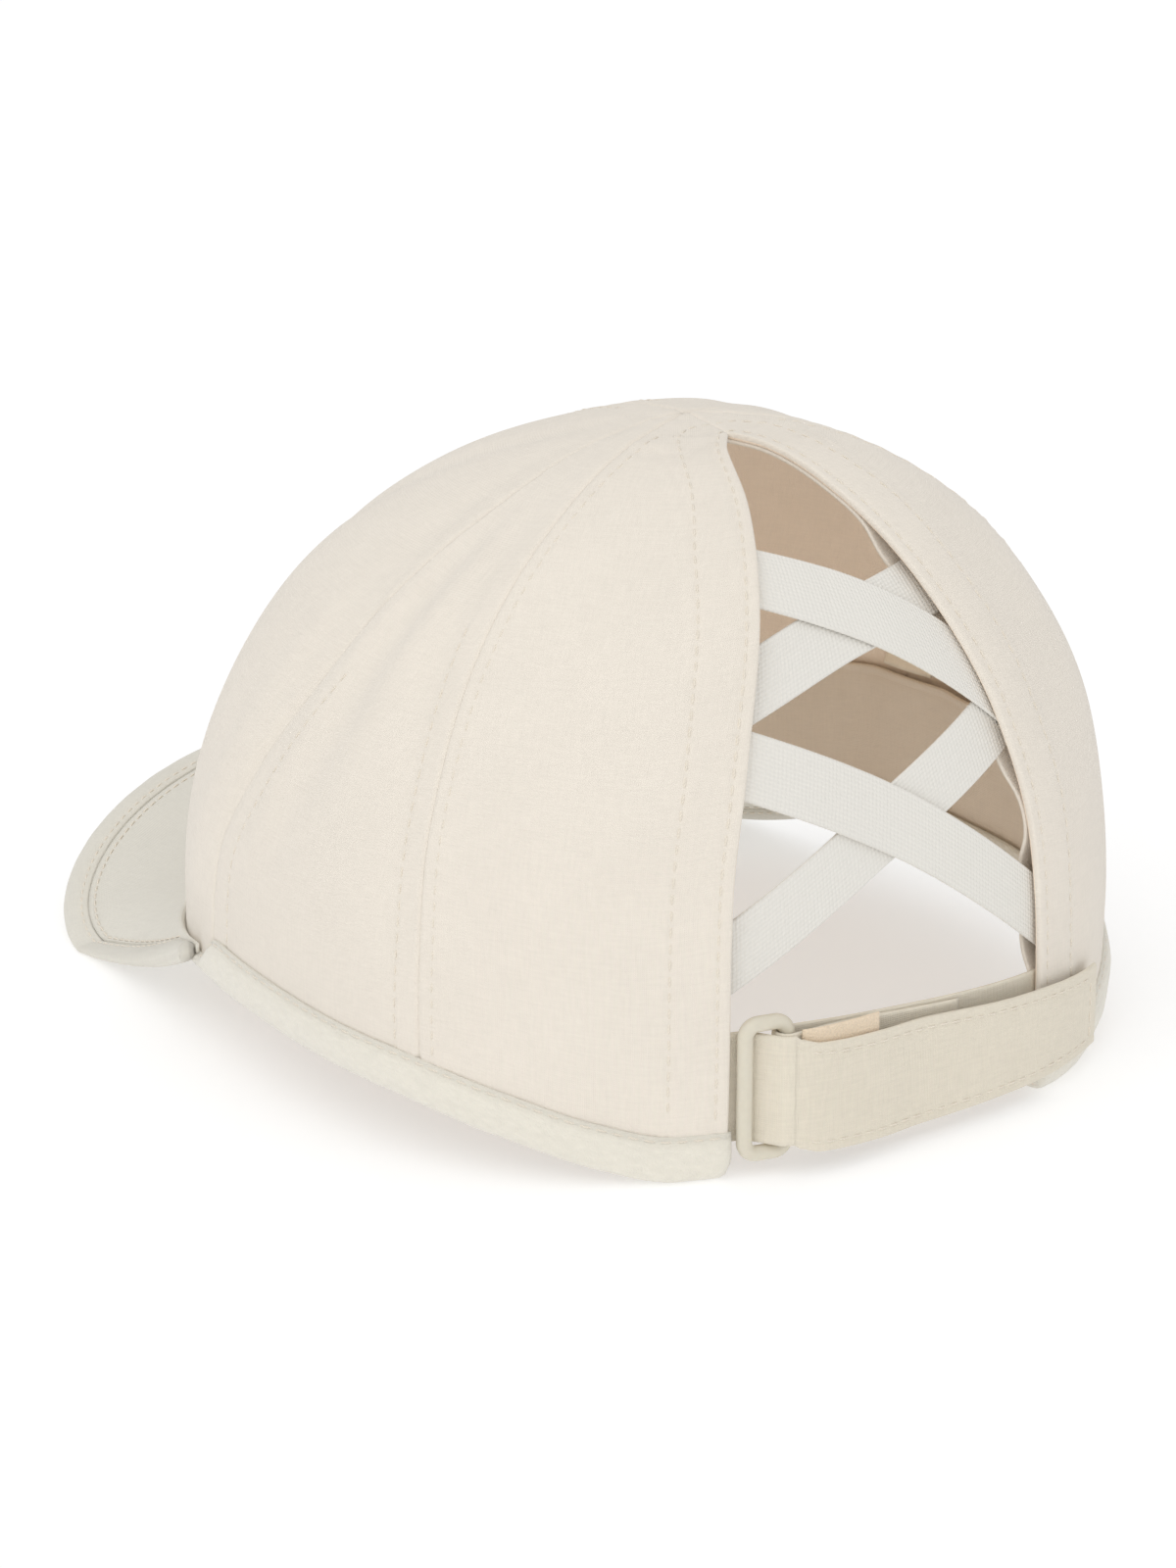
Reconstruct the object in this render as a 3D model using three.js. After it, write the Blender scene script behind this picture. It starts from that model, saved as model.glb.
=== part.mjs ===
import * as THREE from 'three';

// A soft six-panel baseball cap with a tall opening for a ponytail at the back. Millimetres, +Z up.
// The peak points to -Y, the opening to +Y, and the wearer's left side is +X.
// Angles are measured in plan from the back (+Y) towards the left side (+X), in degrees.
// "up" runs along the crown's wall, from 0 at the lower edge to 1 at the apex.
// "depth" is measured inwards from the crown's outer face.

// Crown
const crownHalfWidth = 87.3;
const crownRearReach = 85.9;
const crownFrontReach = 84;
const crownHeight = 124.5;
const planSquareness = 2.5;
const apexSetBack = 14.4;
const panelFullness = 1.1;
const clothThickness = 1.2;
const layerGap = 0.3;
const shoulderGap = 0.6;
const apexHoleRadius = 2.2;
const seamTapeWidth = 14;
const seamTapeThickness = 0.8;

// Lower edge
const hemHeight = 8;
const hemInnerHeight = 6;
const hemWall = 1.0;
const sweatbandHeight = 34;
const sweatbandThickness = 1.0;

// Opening at the back
const openingHalfWidth = 36.5;
const openingTop = 0.925;
const facingWidth = 12;
const facingThickness = 0.9;

// Elastics across the opening
const elasticWidth = 12.5;
const elasticThickness = 0.9;
const elasticTuck = 9;
const elasticSag = 1.5;

// Ring, strap and the anchor strap that holds the ring
const ringWire = 3;
const ringBarSpacing = 8.4;
const ringToEdge = 2.9;
const ringBaseHeight = 2.9;
const ringCornerRadius = 2.5;
const ringClearance = 0.5;
const strapWidth = 21.6;
const strapThickness = 1.2;
const strapTuck = 10;
const strapOverlap = 18.5;
const strapBulge = 0.4;
const anchorThickness = 1.0;
const anchorReturn = 40;
const anchorDrop = 0.17;
const returnDropShare = 0.7;
const patchLength = 20;
const patchThickness = 0.8;
const patchHeight = 18;
const patchRise = 1.2;
const patchToBar = 3;
const strapLevel = 14;

// Peak
const peakLength = 62;
const peakHalfWidth = 82;
const peakTipHeight = 19;
const peakThickness = 2.4;
const peakPlanPower = 1.8;
const peakArchPower = 0.8;
const peakFlankShare = 0.72;
const peakWidestShare = 1.04;
const peakCornerAngle = 109;
const peakCornerReach = 4.5;
const peakSideHeight = -0.2;
const peakRootHeight = 3;
const peakCornerRise = 0.5;
const peakCornerEase = 5;
const peakBendRise = 4.5;
const peakRimGap = 0.8;
const bindingWidth = 7;
const bindingThickness = 4.2;

// Shares of the crown's rows and of the elastics' and facing's lengths
const archShare = 0.86;
const facingStart = 0.02;
const archNarrowing = 0.35;
const archNarrowingSpan = 0.25;
const panelRows = 13;

// Colours
const cream = { color: 0xeee6d8, roughness: 0.95, metalness: 0 };
const towelling = { color: 0xefede0, roughness: 1, metalness: 0 };
const lining = { color: 0xc4b39b, roughness: 0.95, metalness: 0 };
const elasticWhite = { color: 0xecebe6, roughness: 0.85, metalness: 0 };
const strapCream = { color: 0xe4dbc9, roughness: 0.95, metalness: 0 };
const peach = { color: 0xe2c3a0, roughness: 1, metalness: 0 };
const plastic = { color: 0xe9e9e0, roughness: 0.35, metalness: 0 };

// How the wall leans in (lean) and stands up (rise) round the crown.
const WALL = [
  { angle: 0, lean: 0.87, rise: 0.66 },
  { angle: 45, lean: 0.92, rise: 0.75 },
  { angle: 90, lean: 1.03, rise: 0.90 },
  { angle: 135, lean: 1.05, rise: 0.87 },
  { angle: 180, lean: 1.04, rise: 0.84 },
];

// Height of the lower edge above the surface, as a share of the crown's height.
const RIM = [
  { angle: 0, height: 0 },
  { angle: 30, height: 0 },
  { angle: 39, height: 0.025 },
  { angle: 50, height: 0.066 },
  { angle: 66, height: 0.105 },
  { angle: 90, height: 0.12 },
  { angle: 108, height: 0.125 },
  { angle: 135, height: 0.1 },
  { angle: 180, height: 0.095 },
];

// The two seams of the left side, mirrored for the right. The rows are the places along the wall.
const SEAMS = [
  { up: 0, side: 60.3, front: 105.5 },
  { up: 0.2, side: 60.8, front: 106 },
  { up: 0.35, side: 61.7, front: 100.5 },
  { up: 0.5, side: 61.4, front: 93 },
  { up: 0.66, side: 60.5, front: 86.5 },
  { up: 0.8, side: 58.5, front: 82 },
  { up: 1, side: 55, front: 84 },
];

// Half of the opening's outline, as shares of its half width and of the crown's wall.
const OPENING = [
  { along: 0, half: 1, up: 0 },
  { along: 0.22, half: 0.985, up: 0.18 },
  { along: 0.34, half: 0.95, up: 0.28 },
  { along: 0.5, half: 0.79, up: 0.43 },
  { along: 0.68, half: 0.53, up: 0.6 },
  { along: 0.84, half: 0.28, up: 0.77 },
  { along: 0.95, half: 0.14, up: 0.885 },
  { along: 1, half: 0, up: 0.925 },
];

// Where each elastic meets the left and the right edge of the opening, as shares of the outline.
const ELASTICS = [
  { name: 'elastic_upper_over', left: 0.74, right: 0.555, layer: 0 },
  { name: 'elastic_upper_under', left: 0.6, right: 0.69, layer: 1 },
  { name: 'elastic_lower_over', left: 0.5, right: 0.235, layer: 0 },
  { name: 'elastic_lower_under', left: 0.265, right: 0.49, layer: 1 },
];

// The strap's outer layer from the ring to its free end. "at" is a share of that length. "width" is a
// share of the strap's width, "middle" is its mid height and "bulge" its stand-off, as shares of it.
const STRAP = [
  { at: 0, width: 1, middle: 0.77, bulge: 1 },
  { at: 0.06, width: 1, middle: 0.71, bulge: 1.15 },
  { at: 0.22, width: 1, middle: 0.68, bulge: 0.75 },
  { at: 0.38, width: 0.98, middle: 0.67, bulge: 0.1 },
  { at: 0.58, width: 0.91, middle: 0.645, bulge: 0 },
  { at: 0.75, width: 0.86, middle: 0.625, bulge: 0 },
  { at: 1, width: 0.77, middle: 0.605, bulge: 0 },
];

// Upper half of the peak's padded rim. "share" runs out across it and "lift" is in half thicknesses.
const RIM_SECTION = [
  { share: 0, lift: 0.8 },
  { share: 0.35, lift: 1 },
  { share: 0.75, lift: 0.9 },
  { share: 1, lift: 0.4 },
];

const degrees = Math.PI / 180;
const crownBase = hemWall + layerGap;
const strapInside = clothThickness + layerGap;
const hemInside = strapInside + strapThickness + layerGap;
const facingDepth = hemInside + hemWall + layerGap;
const rowEase = 1.35;
const swellPower = 1.2;
const panelSpread = 60;

// Small steps for slopes, in places along the wall or shares, and in degrees
const slopeStep = 0.01;
const turnStep = 0.5;
const leastUp = 0.004;
const mostUp = 0.995;
const leastHeight = 0.02;

// Where a seam tape's foot lies along the wall, and how near a row of the panels may come to its ends
const tapeFootUp = 0.2;
const tapeRowMargin = 0.01;

// Smooth value of one column of a table, with no overshoot between its rows.
function read(rows, key, column, at, flatEnds = true) {
  const x = rows.map((row) => row[key]);
  const y = rows.map((row) => row[column]);
  const last = x.length - 1;
  if (at <= x[0]) return y[0];
  if (at >= x[last]) return y[last];
  const steps = x.slice(1).map((value, i) => (y[i + 1] - y[i]) / (value - x[i]));
  const slopeAt = (i) => {
    if (i === 0 || i === last) return flatEnds ? 0 : steps[i === 0 ? 0 : last - 1];
    const product = steps[i - 1] * steps[i];
    return product <= 0 ? 0 : 2 * product / (steps[i - 1] + steps[i]);
  };
  const i = x.findIndex((value) => value > at) - 1;
  const span = x[i + 1] - x[i];
  const s = (at - x[i]) / span;
  const rest = 1 - s;
  return y[i] * (1 + 2 * s) * rest * rest + y[i + 1] * s * s * (3 - 2 * s)
    + span * s * rest * (slopeAt(i) * rest - slopeAt(i + 1) * s);
}

// The same angle folded into 0 to 180 degrees, because the cap is symmetrical.
function folded(angle) {
  const turn = Math.abs(((angle % 360) + 360) % 360);
  return turn > 180 ? 360 - turn : turn;
}

function rimHeight(angle) {
  return crownBase + crownHeight * read(RIM, 'angle', 'height', folded(angle));
}

// How far each panel swells out between its seams, from 0 at a seam to 1 in the middle.
function swell(angle, up) {
  const turn = folded(angle);
  const side = read(SEAMS, 'up', 'side', up);
  const front = read(SEAMS, 'up', 'front', up);
  const bounds = turn < side ? [side - panelSpread, side] : turn < front ? [side, front] : [front, 180];
  const share = (turn - bounds[0]) / (bounds[1] - bounds[0]);
  return Math.sin(Math.PI * Math.min(Math.max(share, 0), 1)) ** swellPower;
}

// Point of the crown's outer face.
function crownPoint(angle, up) {
  const turn = folded(angle);
  const tau = Math.PI / 2 * Math.max(up, 0) ** rowEase;
  const lean = read(WALL, 'angle', 'lean', turn);
  const rise = read(WALL, 'angle', 'rise', turn);
  const reach = Math.cos(tau) ** lean;
  const stand = Math.sin(tau) ** rise;
  const sine = Math.sin(angle * degrees);
  const cosine = Math.cos(angle * degrees);
  const powers = Math.abs(sine) ** planSquareness + Math.abs(cosine) ** planSquareness;
  const round = powers ** (-1 / planSquareness);
  const full = panelFullness * swell(angle, up) * Math.sin(Math.PI * Math.min(up, 1));
  const radius = round * reach;
  const length = cosine > 0 ? crownRearReach : crownFrontReach;
  const rim = rimHeight(angle);
  return new THREE.Vector3(
    (crownHalfWidth * radius + full * round) * sine,
    (length * radius + full * round) * cosine + apexSetBack * (1 - reach),
    rim + (crownBase + crownHeight - rim) * stand,
  );
}

// Outward normal of the crown.
function crownNormal(angle, up) {
  const low = Math.max(up - slopeStep, leastUp);
  const high = Math.min(up + slopeStep, mostUp);
  const climb = crownPoint(angle, high).sub(crownPoint(angle, low));
  const round = crownPoint(angle + turnStep, up).sub(crownPoint(angle - turnStep, up));
  return climb.cross(round).normalize();
}

function crownAt(angle, up, depth) {
  return crownPoint(angle, up).addScaledVector(crownNormal(angle, up), -depth);
}

// Place along the wall that lies a height above the lower edge.
function upAtHeight(angle, height) {
  const rise = read(WALL, 'angle', 'rise', folded(angle));
  const share = height / (crownBase + crownHeight - rimHeight(angle));
  return (Math.asin(share ** (1 / rise)) / (Math.PI / 2)) ** (1 / rowEase);
}

// An angle moved sideways by a length.
function sideways(angle, up, distance) {
  const perDegree = crownPoint(angle + turnStep, up).distanceTo(crownPoint(angle - turnStep, up)) / (2 * turnStep);
  return angle + distance / perDegree;
}

// Angle at which the wall is a given distance from the middle plane, near the back.
function angleAtX(x, up) {
  let low = -89;
  let high = 89;
  for (let step = 0; step < 34; step += 1) {
    const middle = (low + high) / 2;
    if (crownPoint(middle, up).x < x) low = middle;
    else high = middle;
  }
  return (low + high) / 2;
}

// Place along the wall where the panels stop, round the small hole at the apex.
const apexStop = (radius) => (Math.acos(radius / crownHalfWidth) / (Math.PI / 2)) ** (1 / rowEase);
const panelTop = apexStop(apexHoleRadius);

// Length of the middle line of the back, from the lower edge, for each place along it.
const backSteps = 120;
const backLine = [0];
for (let step = 1; step <= backSteps; step += 1) {
  const length = crownPoint(0, step / backSteps).distanceTo(crownPoint(0, (step - 1) / backSteps));
  backLine.push(backLine[step - 1] + length);
}

function lengthAtUp(up) {
  const place = Math.min(Math.max(up, 0), 1) * backSteps;
  const step = Math.min(Math.floor(place), backSteps - 1);
  return backLine[step] + (backLine[step + 1] - backLine[step]) * (place - step);
}

function upAtLength(length) {
  if (length <= 0) return 0;
  const step = Math.min(backLine.findIndex((value) => value >= length), backSteps);
  const place = step < 1 ? backSteps : step;
  return (place - 1 + (length - backLine[place - 1]) / (backLine[place] - backLine[place - 1])) / backSteps;
}

// A flat chart of the back: x is the distance from the middle plane, y the length up the wall.
function edgeChart(along, side) {
  const half = openingHalfWidth * read(OPENING, 'along', 'half', along, false);
  const up = read(OPENING, 'along', 'up', along, false) * openingTop / OPENING.at(-1).up;
  return new THREE.Vector2(side * half, lengthAtUp(up));
}

function edgeDirection(along, side) {
  const low = Math.max(along - slopeStep, 0);
  const high = Math.min(along + slopeStep, 1);
  return edgeChart(high, side).sub(edgeChart(low, side)).normalize();
}

function chartAngle(place) {
  const up = upAtLength(place.y);
  return { angle: angleAtX(place.x, up), up };
}

function chartAt(place, depth) {
  const { angle, up } = chartAngle(place);
  return crownAt(angle, up, depth);
}

// A closed sheet. The outer and inner functions give its two faces for u and v from 0 to 1.
function sheet(columns, rows, outer, inner) {
  const positions = [];
  const faces = [outer, inner];
  for (const face of faces) {
    for (let row = 0; row <= rows; row += 1) {
      for (let column = 0; column <= columns; column += 1) {
        positions.push(...face(column / columns, row / rows).toArray());
      }
    }
  }
  const layer = (columns + 1) * (rows + 1);
  const at = (column, row, face) => face * layer + row * (columns + 1) + column;
  const index = [];
  const quad = (a, b, c, d) => index.push(a, b, c, a, c, d);
  for (let row = 0; row < rows; row += 1) {
    for (let column = 0; column < columns; column += 1) {
      quad(at(column, row, 0), at(column + 1, row, 0), at(column + 1, row + 1, 0), at(column, row + 1, 0));
      quad(at(column, row + 1, 1), at(column + 1, row + 1, 1), at(column + 1, row, 1), at(column, row, 1));
    }
    quad(at(0, row + 1, 0), at(0, row + 1, 1), at(0, row, 1), at(0, row, 0));
    quad(at(columns, row, 0), at(columns, row, 1), at(columns, row + 1, 1), at(columns, row + 1, 0));
  }
  for (let column = 0; column < columns; column += 1) {
    quad(at(column, 0, 0), at(column, 0, 1), at(column + 1, 0, 1), at(column + 1, 0, 0));
    quad(at(column + 1, rows, 0), at(column + 1, rows, 1), at(column, rows, 1), at(column, rows, 0));
  }
  return outward(positions, index);
}

// A closed body swept through sections: sections[i] is a ring of points.
function sweep(sections, closed) {
  const size = sections[0].length;
  const positions = sections.flatMap((section) => section.flatMap((point) => point.toArray()));
  const index = [];
  const spans = closed ? sections.length : sections.length - 1;
  for (let span = 0; span < spans; span += 1) {
    const next = (span + 1) % sections.length;
    for (let side = 0; side < size; side += 1) {
      const a = span * size + side;
      const b = span * size + (side + 1) % size;
      const c = next * size + (side + 1) % size;
      const d = next * size + side;
      index.push(a, b, c, a, c, d);
    }
  }
  if (!closed) {
    for (const [section, forward] of [[0, false], [sections.length - 1, true]]) {
      const flat = flatSection(sections[section]);
      for (const [a, b, c] of THREE.ShapeUtils.triangulateShape(flat, [])) {
        const corners = [a, b, c].map((corner) => section * size + corner);
        index.push(...(forward ? corners : corners.reverse()));
      }
    }
  }
  return outward(positions, index);
}

// A section's points in its own plane, wound so that its caps match the swept sides.
function flatSection(points) {
  const total = points.reduce((sum, point) => sum.add(point), new THREE.Vector3());
  const centre = total.divideScalar(points.length);
  const normal = new THREE.Vector3();
  points.forEach((point, i) => {
    const next = points[(i + 1) % points.length];
    normal.add(point.clone().sub(centre).cross(next.clone().sub(centre)));
  });
  normal.normalize();
  const across = points[0].clone().sub(centre).projectOnPlane(normal).normalize();
  const along = normal.clone().cross(across);
  return points.map((point) => {
    const arm = point.clone().sub(centre);
    return new THREE.Vector2(arm.dot(across), arm.dot(along));
  });
}

// A geometry whose faces point out, whichever way round it was built.
function outward(positions, index) {
  let volume = 0;
  const corner = (i) => new THREE.Vector3().fromArray(positions, 3 * i);
  for (let i = 0; i < index.length; i += 3) {
    const [a, b, c] = [corner(index[i]), corner(index[i + 1]), corner(index[i + 2])];
    volume += a.dot(b.cross(c));
  }
  if (volume < 0) {
    for (let i = 0; i < index.length; i += 3) [index[i], index[i + 1]] = [index[i + 1], index[i]];
  }
  const geometry = new THREE.BufferGeometry();
  geometry.setAttribute('position', new THREE.Float32BufferAttribute(positions, 3));
  geometry.setIndex(index);
  geometry.computeVertexNormals();
  return geometry;
}

const mix = (a, b, share) => a + (b - a) * share;

// A panel between two boundaries. Each gives an angle and a place along the wall for v from 0 to 1.
function panel(columns, rows, near, far) {
  const face = (depth) => (u, v) => {
    const a = near(v);
    const b = far(v);
    return crownAt(mix(a.angle, b.angle, u), mix(a.up, b.up, u), depth);
  };
  return sheet(columns, rows, face(0), face(clothThickness));
}

function seamBoundary(column, side, shift) {
  return (v) => {
    const up = v * panelTop;
    const angle = side * read(SEAMS, 'up', column, up);
    return { angle: sideways(angle, up, shift * layerGap / 2), up };
  };
}

// Boundary on the middle plane, front or back, with half of the gap.
function middleBoundary(angle, shift) {
  return (v) => ({ angle: sideways(angle, v * panelTop, shift * layerGap / 2), up: v * panelTop });
}

// Inner boundary of a rear panel: the opening's edge, then the middle seam above it.
function openingBoundary(side) {
  return (v) => {
    if (v < archShare) {
      const place = edgeChart(v / archShare, side);
      const floor = side * layerGap / 2;
      place.x = side > 0 ? Math.max(place.x, floor) : Math.min(place.x, floor);
      return chartAngle(place);
    }
    const up = mix(openingTop, panelTop, (v - archShare) / (1 - archShare));
    return { angle: sideways(0, up, side * layerGap / 2), up };
  };
}

const sides = [
  { name: 'left', side: 1 },
  { name: 'right', side: -1 },
];

const cap = new THREE.Group();

function add(name, geometry, finish) {
  const mesh = new THREE.Mesh(geometry, new THREE.MeshStandardMaterial(finish));
  mesh.name = name;
  cap.add(mesh);
  return mesh;
}

function addCrown() {
  for (const { name, side } of sides) {
    const front = panel(18, panelRows, seamBoundary('front', side, side), middleBoundary(side * 180, -side));
    add(`crown_front_${name}`, front, cream);
    const flank = panel(8, panelRows, seamBoundary('side', side, side), seamBoundary('front', side, -side));
    add(`crown_side_${name}`, flank, cream);
    const rear = panel(10, panelRows, openingBoundary(side), seamBoundary('side', side, -side));
    add(`crown_rear_${name}`, rear, cream);
  }
}

// A flat tape inside one seam, from above the sweatband to where the tapes would meet. Its rows are
// the panels' own, so that the two stay parallel.
function seamTape(angleAt, separation) {
  const stopRadius = (seamTapeWidth + 2 * layerGap) / (2 * Math.sin(separation * degrees / 2));
  const top = apexStop(stopRadius);
  const foot = (angle) => upAtHeight(angle, sweatbandHeight + 2 * layerGap);
  const rowPlace = (row) => row * panelTop / panelRows;
  const firstRow = Math.ceil((foot(angleAt(tapeFootUp)) + tapeRowMargin) / rowPlace(1));
  const inner = [];
  for (let row = firstRow; rowPlace(row) < top - tapeRowMargin; row += 1) inner.push(rowPlace(row));
  const face = (depth) => (u, v) => {
    const row = Math.round(v * (inner.length + 1));
    const middle = angleAt(row === 0 ? tapeFootUp : inner[row - 1] ?? top);
    const place = row === 0 ? foot(middle) : inner[row - 1] ?? top;
    const angle = sideways(middle, place, (u - 0.5) * seamTapeWidth);
    return crownAt(angle, row === 0 ? foot(angle) : place, depth);
  };
  return sheet(2, inner.length + 1, face(strapInside), face(strapInside + seamTapeThickness));
}

const alongSeam = (column, side) => (up) => side * read(SEAMS, 'up', column, up);

function addSeamTapes() {
  const topRow = SEAMS.at(-2);
  const apart = topRow.front - topRow.side;
  const seams = [
    ...sides.map(({ side }) => ({ angleAt: alongSeam('side', side), separation: panelSpread })),
    ...sides.map(({ side }) => ({ angleAt: alongSeam('front', side), separation: apart })),
    { angleAt: () => 180, separation: panelSpread },
  ];
  seams.forEach(({ angleAt, separation }, i) => {
    add(`seam_tape_${i + 1}`, seamTape(angleAt, separation), lining);
  });
}

// The strip inside the opening's edge, from one lower corner over the arch to the other.
function openingFacing() {
  const face = (depth) => (u, v) => {
    const turn = 2 * u - 1;
    const side = turn < 0 ? 1 : -1;
    const along = 1 - (1 - facingStart) * Math.abs(turn);
    const out = edgeDirection(along, side);
    const away = new THREE.Vector2(side * out.y, -side * out.x);
    if (Math.abs(turn) < 1e-6) away.set(0, 1);
    const nearTop = 1 - Math.min(Math.abs(turn) / archNarrowingSpan, 1);
    const reach = mix(layerGap, facingWidth, v) * (1 - archNarrowing * nearTop);
    return chartAt(edgeChart(along, side).addScaledVector(away, reach), depth);
  };
  return sheet(44, 2, face(facingDepth), face(facingDepth + facingThickness));
}

// Angle of the opening's lower corner and of the sweatband's end.
const cornerAngle = angleAtX(openingHalfWidth, leastHeight);
const bandAngle = angleAtX(openingHalfWidth + facingWidth + layerGap, leastHeight);

function sweatband() {
  const face = (depth) => (u, v) => {
    const angle = mix(bandAngle, 360 - bandAngle, u);
    return crownAt(angle, upAtHeight(angle, mix(layerGap, sweatbandHeight, v)), depth);
  };
  return sheet(48, 4, face(strapInside), face(strapInside + sweatbandThickness));
}

// Towelling band that wraps the lower edge. Its section is a U.
function hemBinding() {
  const stations = 60;
  const sections = [];
  for (let station = 0; station <= stations; station += 1) {
    const angle = mix(cornerAngle, 360 - cornerAngle, station / stations);
    const wall = (depth, height) => {
      const foot = crownAt(angle, upAtHeight(angle, Math.max(height, leastHeight)), depth);
      const rim = rimHeight(angle);
      foot.z = rim + height;
      return foot;
    };
    sections.push([
      wall(-layerGap - hemWall, hemHeight),
      wall(-layerGap - hemWall, 0),
      wall(-layerGap, -crownBase),
      wall(hemInside, -crownBase),
      wall(hemInside + hemWall, 0),
      wall(hemInside + hemWall, hemInnerHeight),
      wall(hemInside, hemInnerHeight),
      wall(hemInside, -layerGap),
      wall(-layerGap, -layerGap),
      wall(-layerGap, hemHeight),
    ]);
  }
  return sweep(sections, false);
}

// How far the elastics sink into the opening at a place of the chart.
function elasticSink(place) {
  const up = upAtLength(place.y) * OPENING.at(-1).up / openingTop;
  const half = openingHalfWidth * read(OPENING, 'up', 'half', up, false);
  return half > 0 ? elasticSag * Math.max(0, 1 - (place.x / half) ** 2) : 0;
}

function elastic({ left, right, layer }) {
  const ends = [{ along: left, side: 1 }, { along: right, side: -1 }].map(({ along, side }) => ({
    anchor: edgeChart(along, side),
    edge: edgeDirection(along, side),
  }));
  const direction = ends[1].anchor.clone().sub(ends[0].anchor).normalize();
  const across = new THREE.Vector2(-direction.y, direction.x);
  const corners = ends.map(({ anchor, edge }, i) => (offset) => {
    const slant = edge.dot(direction) / edge.dot(across);
    const tuck = (i === 0 ? -1 : 1) * elasticTuck;
    return anchor.clone().addScaledVector(across, offset).addScaledVector(direction, offset * slant + tuck);
  });
  const top = clothThickness + shoulderGap + layer * (elasticThickness + layerGap);
  const face = (depth) => (u, v) => {
    const offset = (v - 0.5) * elasticWidth;
    const place = corners[0](offset).lerp(corners[1](offset), u);
    return chartAt(place, depth + elasticSink(place));
  };
  return sheet(16, 2, face(top), face(top + elasticThickness));
}

// Plan curve of the crown's back at the strap's height, measured by length from the middle plane.
const planPlaces = [];
for (let angle = -75; angle <= 75; angle += 1) {
  const up = upAtHeight(angle, strapLevel);
  const point = crownPoint(angle, up);
  const normal = crownNormal(angle, up).setZ(0).normalize();
  planPlaces.push({
    point: new THREE.Vector2(point.x, point.y),
    normal: new THREE.Vector2(normal.x, normal.y),
  });
}
const planMiddle = (planPlaces.length - 1) / 2;
planPlaces.forEach((place, i) => {
  place.length = i === 0 ? 0 : planPlaces[i - 1].length + place.point.distanceTo(planPlaces[i - 1].point);
});
const planOffset = planPlaces[planMiddle].length;

// Plan point a length from the middle plane and a depth inside the crown's outer face.
function planAt(length, depth) {
  const target = length + planOffset;
  const next = Math.max(planPlaces.findIndex((place) => place.length > target), 1);
  const a = planPlaces[next - 1];
  const b = planPlaces[next];
  const share = (target - a.length) / (b.length - a.length);
  const normal = a.normal.clone().lerp(b.normal, share).normalize();
  return a.point.clone().lerp(b.point, share).addScaledVector(normal, -depth);
}

// Ring: two upright bars joined by round corners. It lies just outside the crown's face.
const ringWindow = strapWidth + 2 * ringClearance;
const ringMiddleHeight = ringBaseHeight + ringWire + ringWindow / 2;
const leftBar = planLength(openingHalfWidth) - ringToEdge;
const rightBar = leftBar - ringBarSpacing;
const barDepth = strapInside - layerGap - ringWire / 2;

function planLength(x) {
  const next = planPlaces.findIndex((place) => place.point.x > x);
  const a = planPlaces[next - 1];
  const b = planPlaces[next];
  return mix(a.length, b.length, (x - a.point.x) / (b.point.x - a.point.x)) - planOffset;
}

function slideRing() {
  const halfWide = ringBarSpacing / 2;
  const halfTall = (ringWindow + ringWire) / 2;
  const corner = Math.min(ringCornerRadius, halfWide);
  const path = [];
  const cornerSteps = 5;
  for (const [x, y, start] of [[1, 1, 0], [-1, 1, 90], [-1, -1, 180], [1, -1, 270]]) {
    for (let step = 0; step <= cornerSteps; step += 1) {
      const turn = (start + 90 * step / cornerSteps) * degrees;
      const direction = new THREE.Vector2(Math.cos(turn), Math.sin(turn));
      const pivot = new THREE.Vector2(x * (halfWide - corner), y * (halfTall - corner));
      path.push({ centre: pivot.addScaledVector(direction, corner), direction });
    }
  }
  const middle = planAt((leftBar + rightBar) / 2, barDepth);
  const tangent = planAt(leftBar, barDepth).sub(planAt(rightBar, barDepth)).normalize();
  const wide = new THREE.Vector3(tangent.x, tangent.y, 0);
  const tall = new THREE.Vector3(0, 0, 1);
  const out = new THREE.Vector3().crossVectors(wide, tall);
  const origin = new THREE.Vector3(middle.x, middle.y, ringMiddleHeight);
  const wireSides = 10;
  const apart = (a, b) => a.centre.distanceTo(b.centre) > leastHeight;
  const distinct = path.filter((place, i) => i === 0 || (apart(place, path[i - 1]) && apart(place, path[0])));
  const sections = distinct.map(({ centre, direction }) => {
    const base = origin.clone().addScaledVector(wide, centre.x).addScaledVector(tall, centre.y);
    const outwards = wide.clone().multiplyScalar(direction.x).addScaledVector(tall, direction.y);
    return Array.from({ length: wireSides }, (_, i) => {
      const turn = 2 * Math.PI * i / wireSides;
      const radius = ringWire / 2;
      const ring = base.clone().addScaledVector(outwards, radius * Math.cos(turn));
      return ring.addScaledVector(out, radius * Math.sin(turn));
    });
  });
  return sweep(sections, true);
}

// Points of an arc round a bar, in lengths and depths. An angle of 0 points left, 90 points inwards.
function roundBar(bar, radius, from, to, steps) {
  return Array.from({ length: steps + 1 }, (_, i) => {
    const turn = mix(from, to, i / steps) * degrees;
    return { length: bar + radius * Math.cos(turn), depth: barDepth + radius * Math.sin(turn) };
  });
}

// A closed ribbon along a plan path. Each place has a length, a depth, a low and a high.
function ribbon(places, thickness, rows) {
  const plan = places.map(({ length, depth }) => planAt(length, depth));
  const normals = plan.map((point, i) => {
    const before = plan[Math.max(i - 1, 0)];
    const after = plan[Math.min(i + 1, plan.length - 1)];
    const run = after.clone().sub(before).normalize();
    return new THREE.Vector2(-run.y, run.x);
  });
  const face = (offset) => (u, v) => {
    const i = Math.round(u * (places.length - 1));
    const point = plan[i].clone().addScaledVector(normals[i], offset);
    return new THREE.Vector3(point.x, point.y, mix(places[i].low, places[i].high, v));
  };
  return sheet(places.length - 1, rows, face(thickness / 2), face(-thickness / 2));
}

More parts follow.
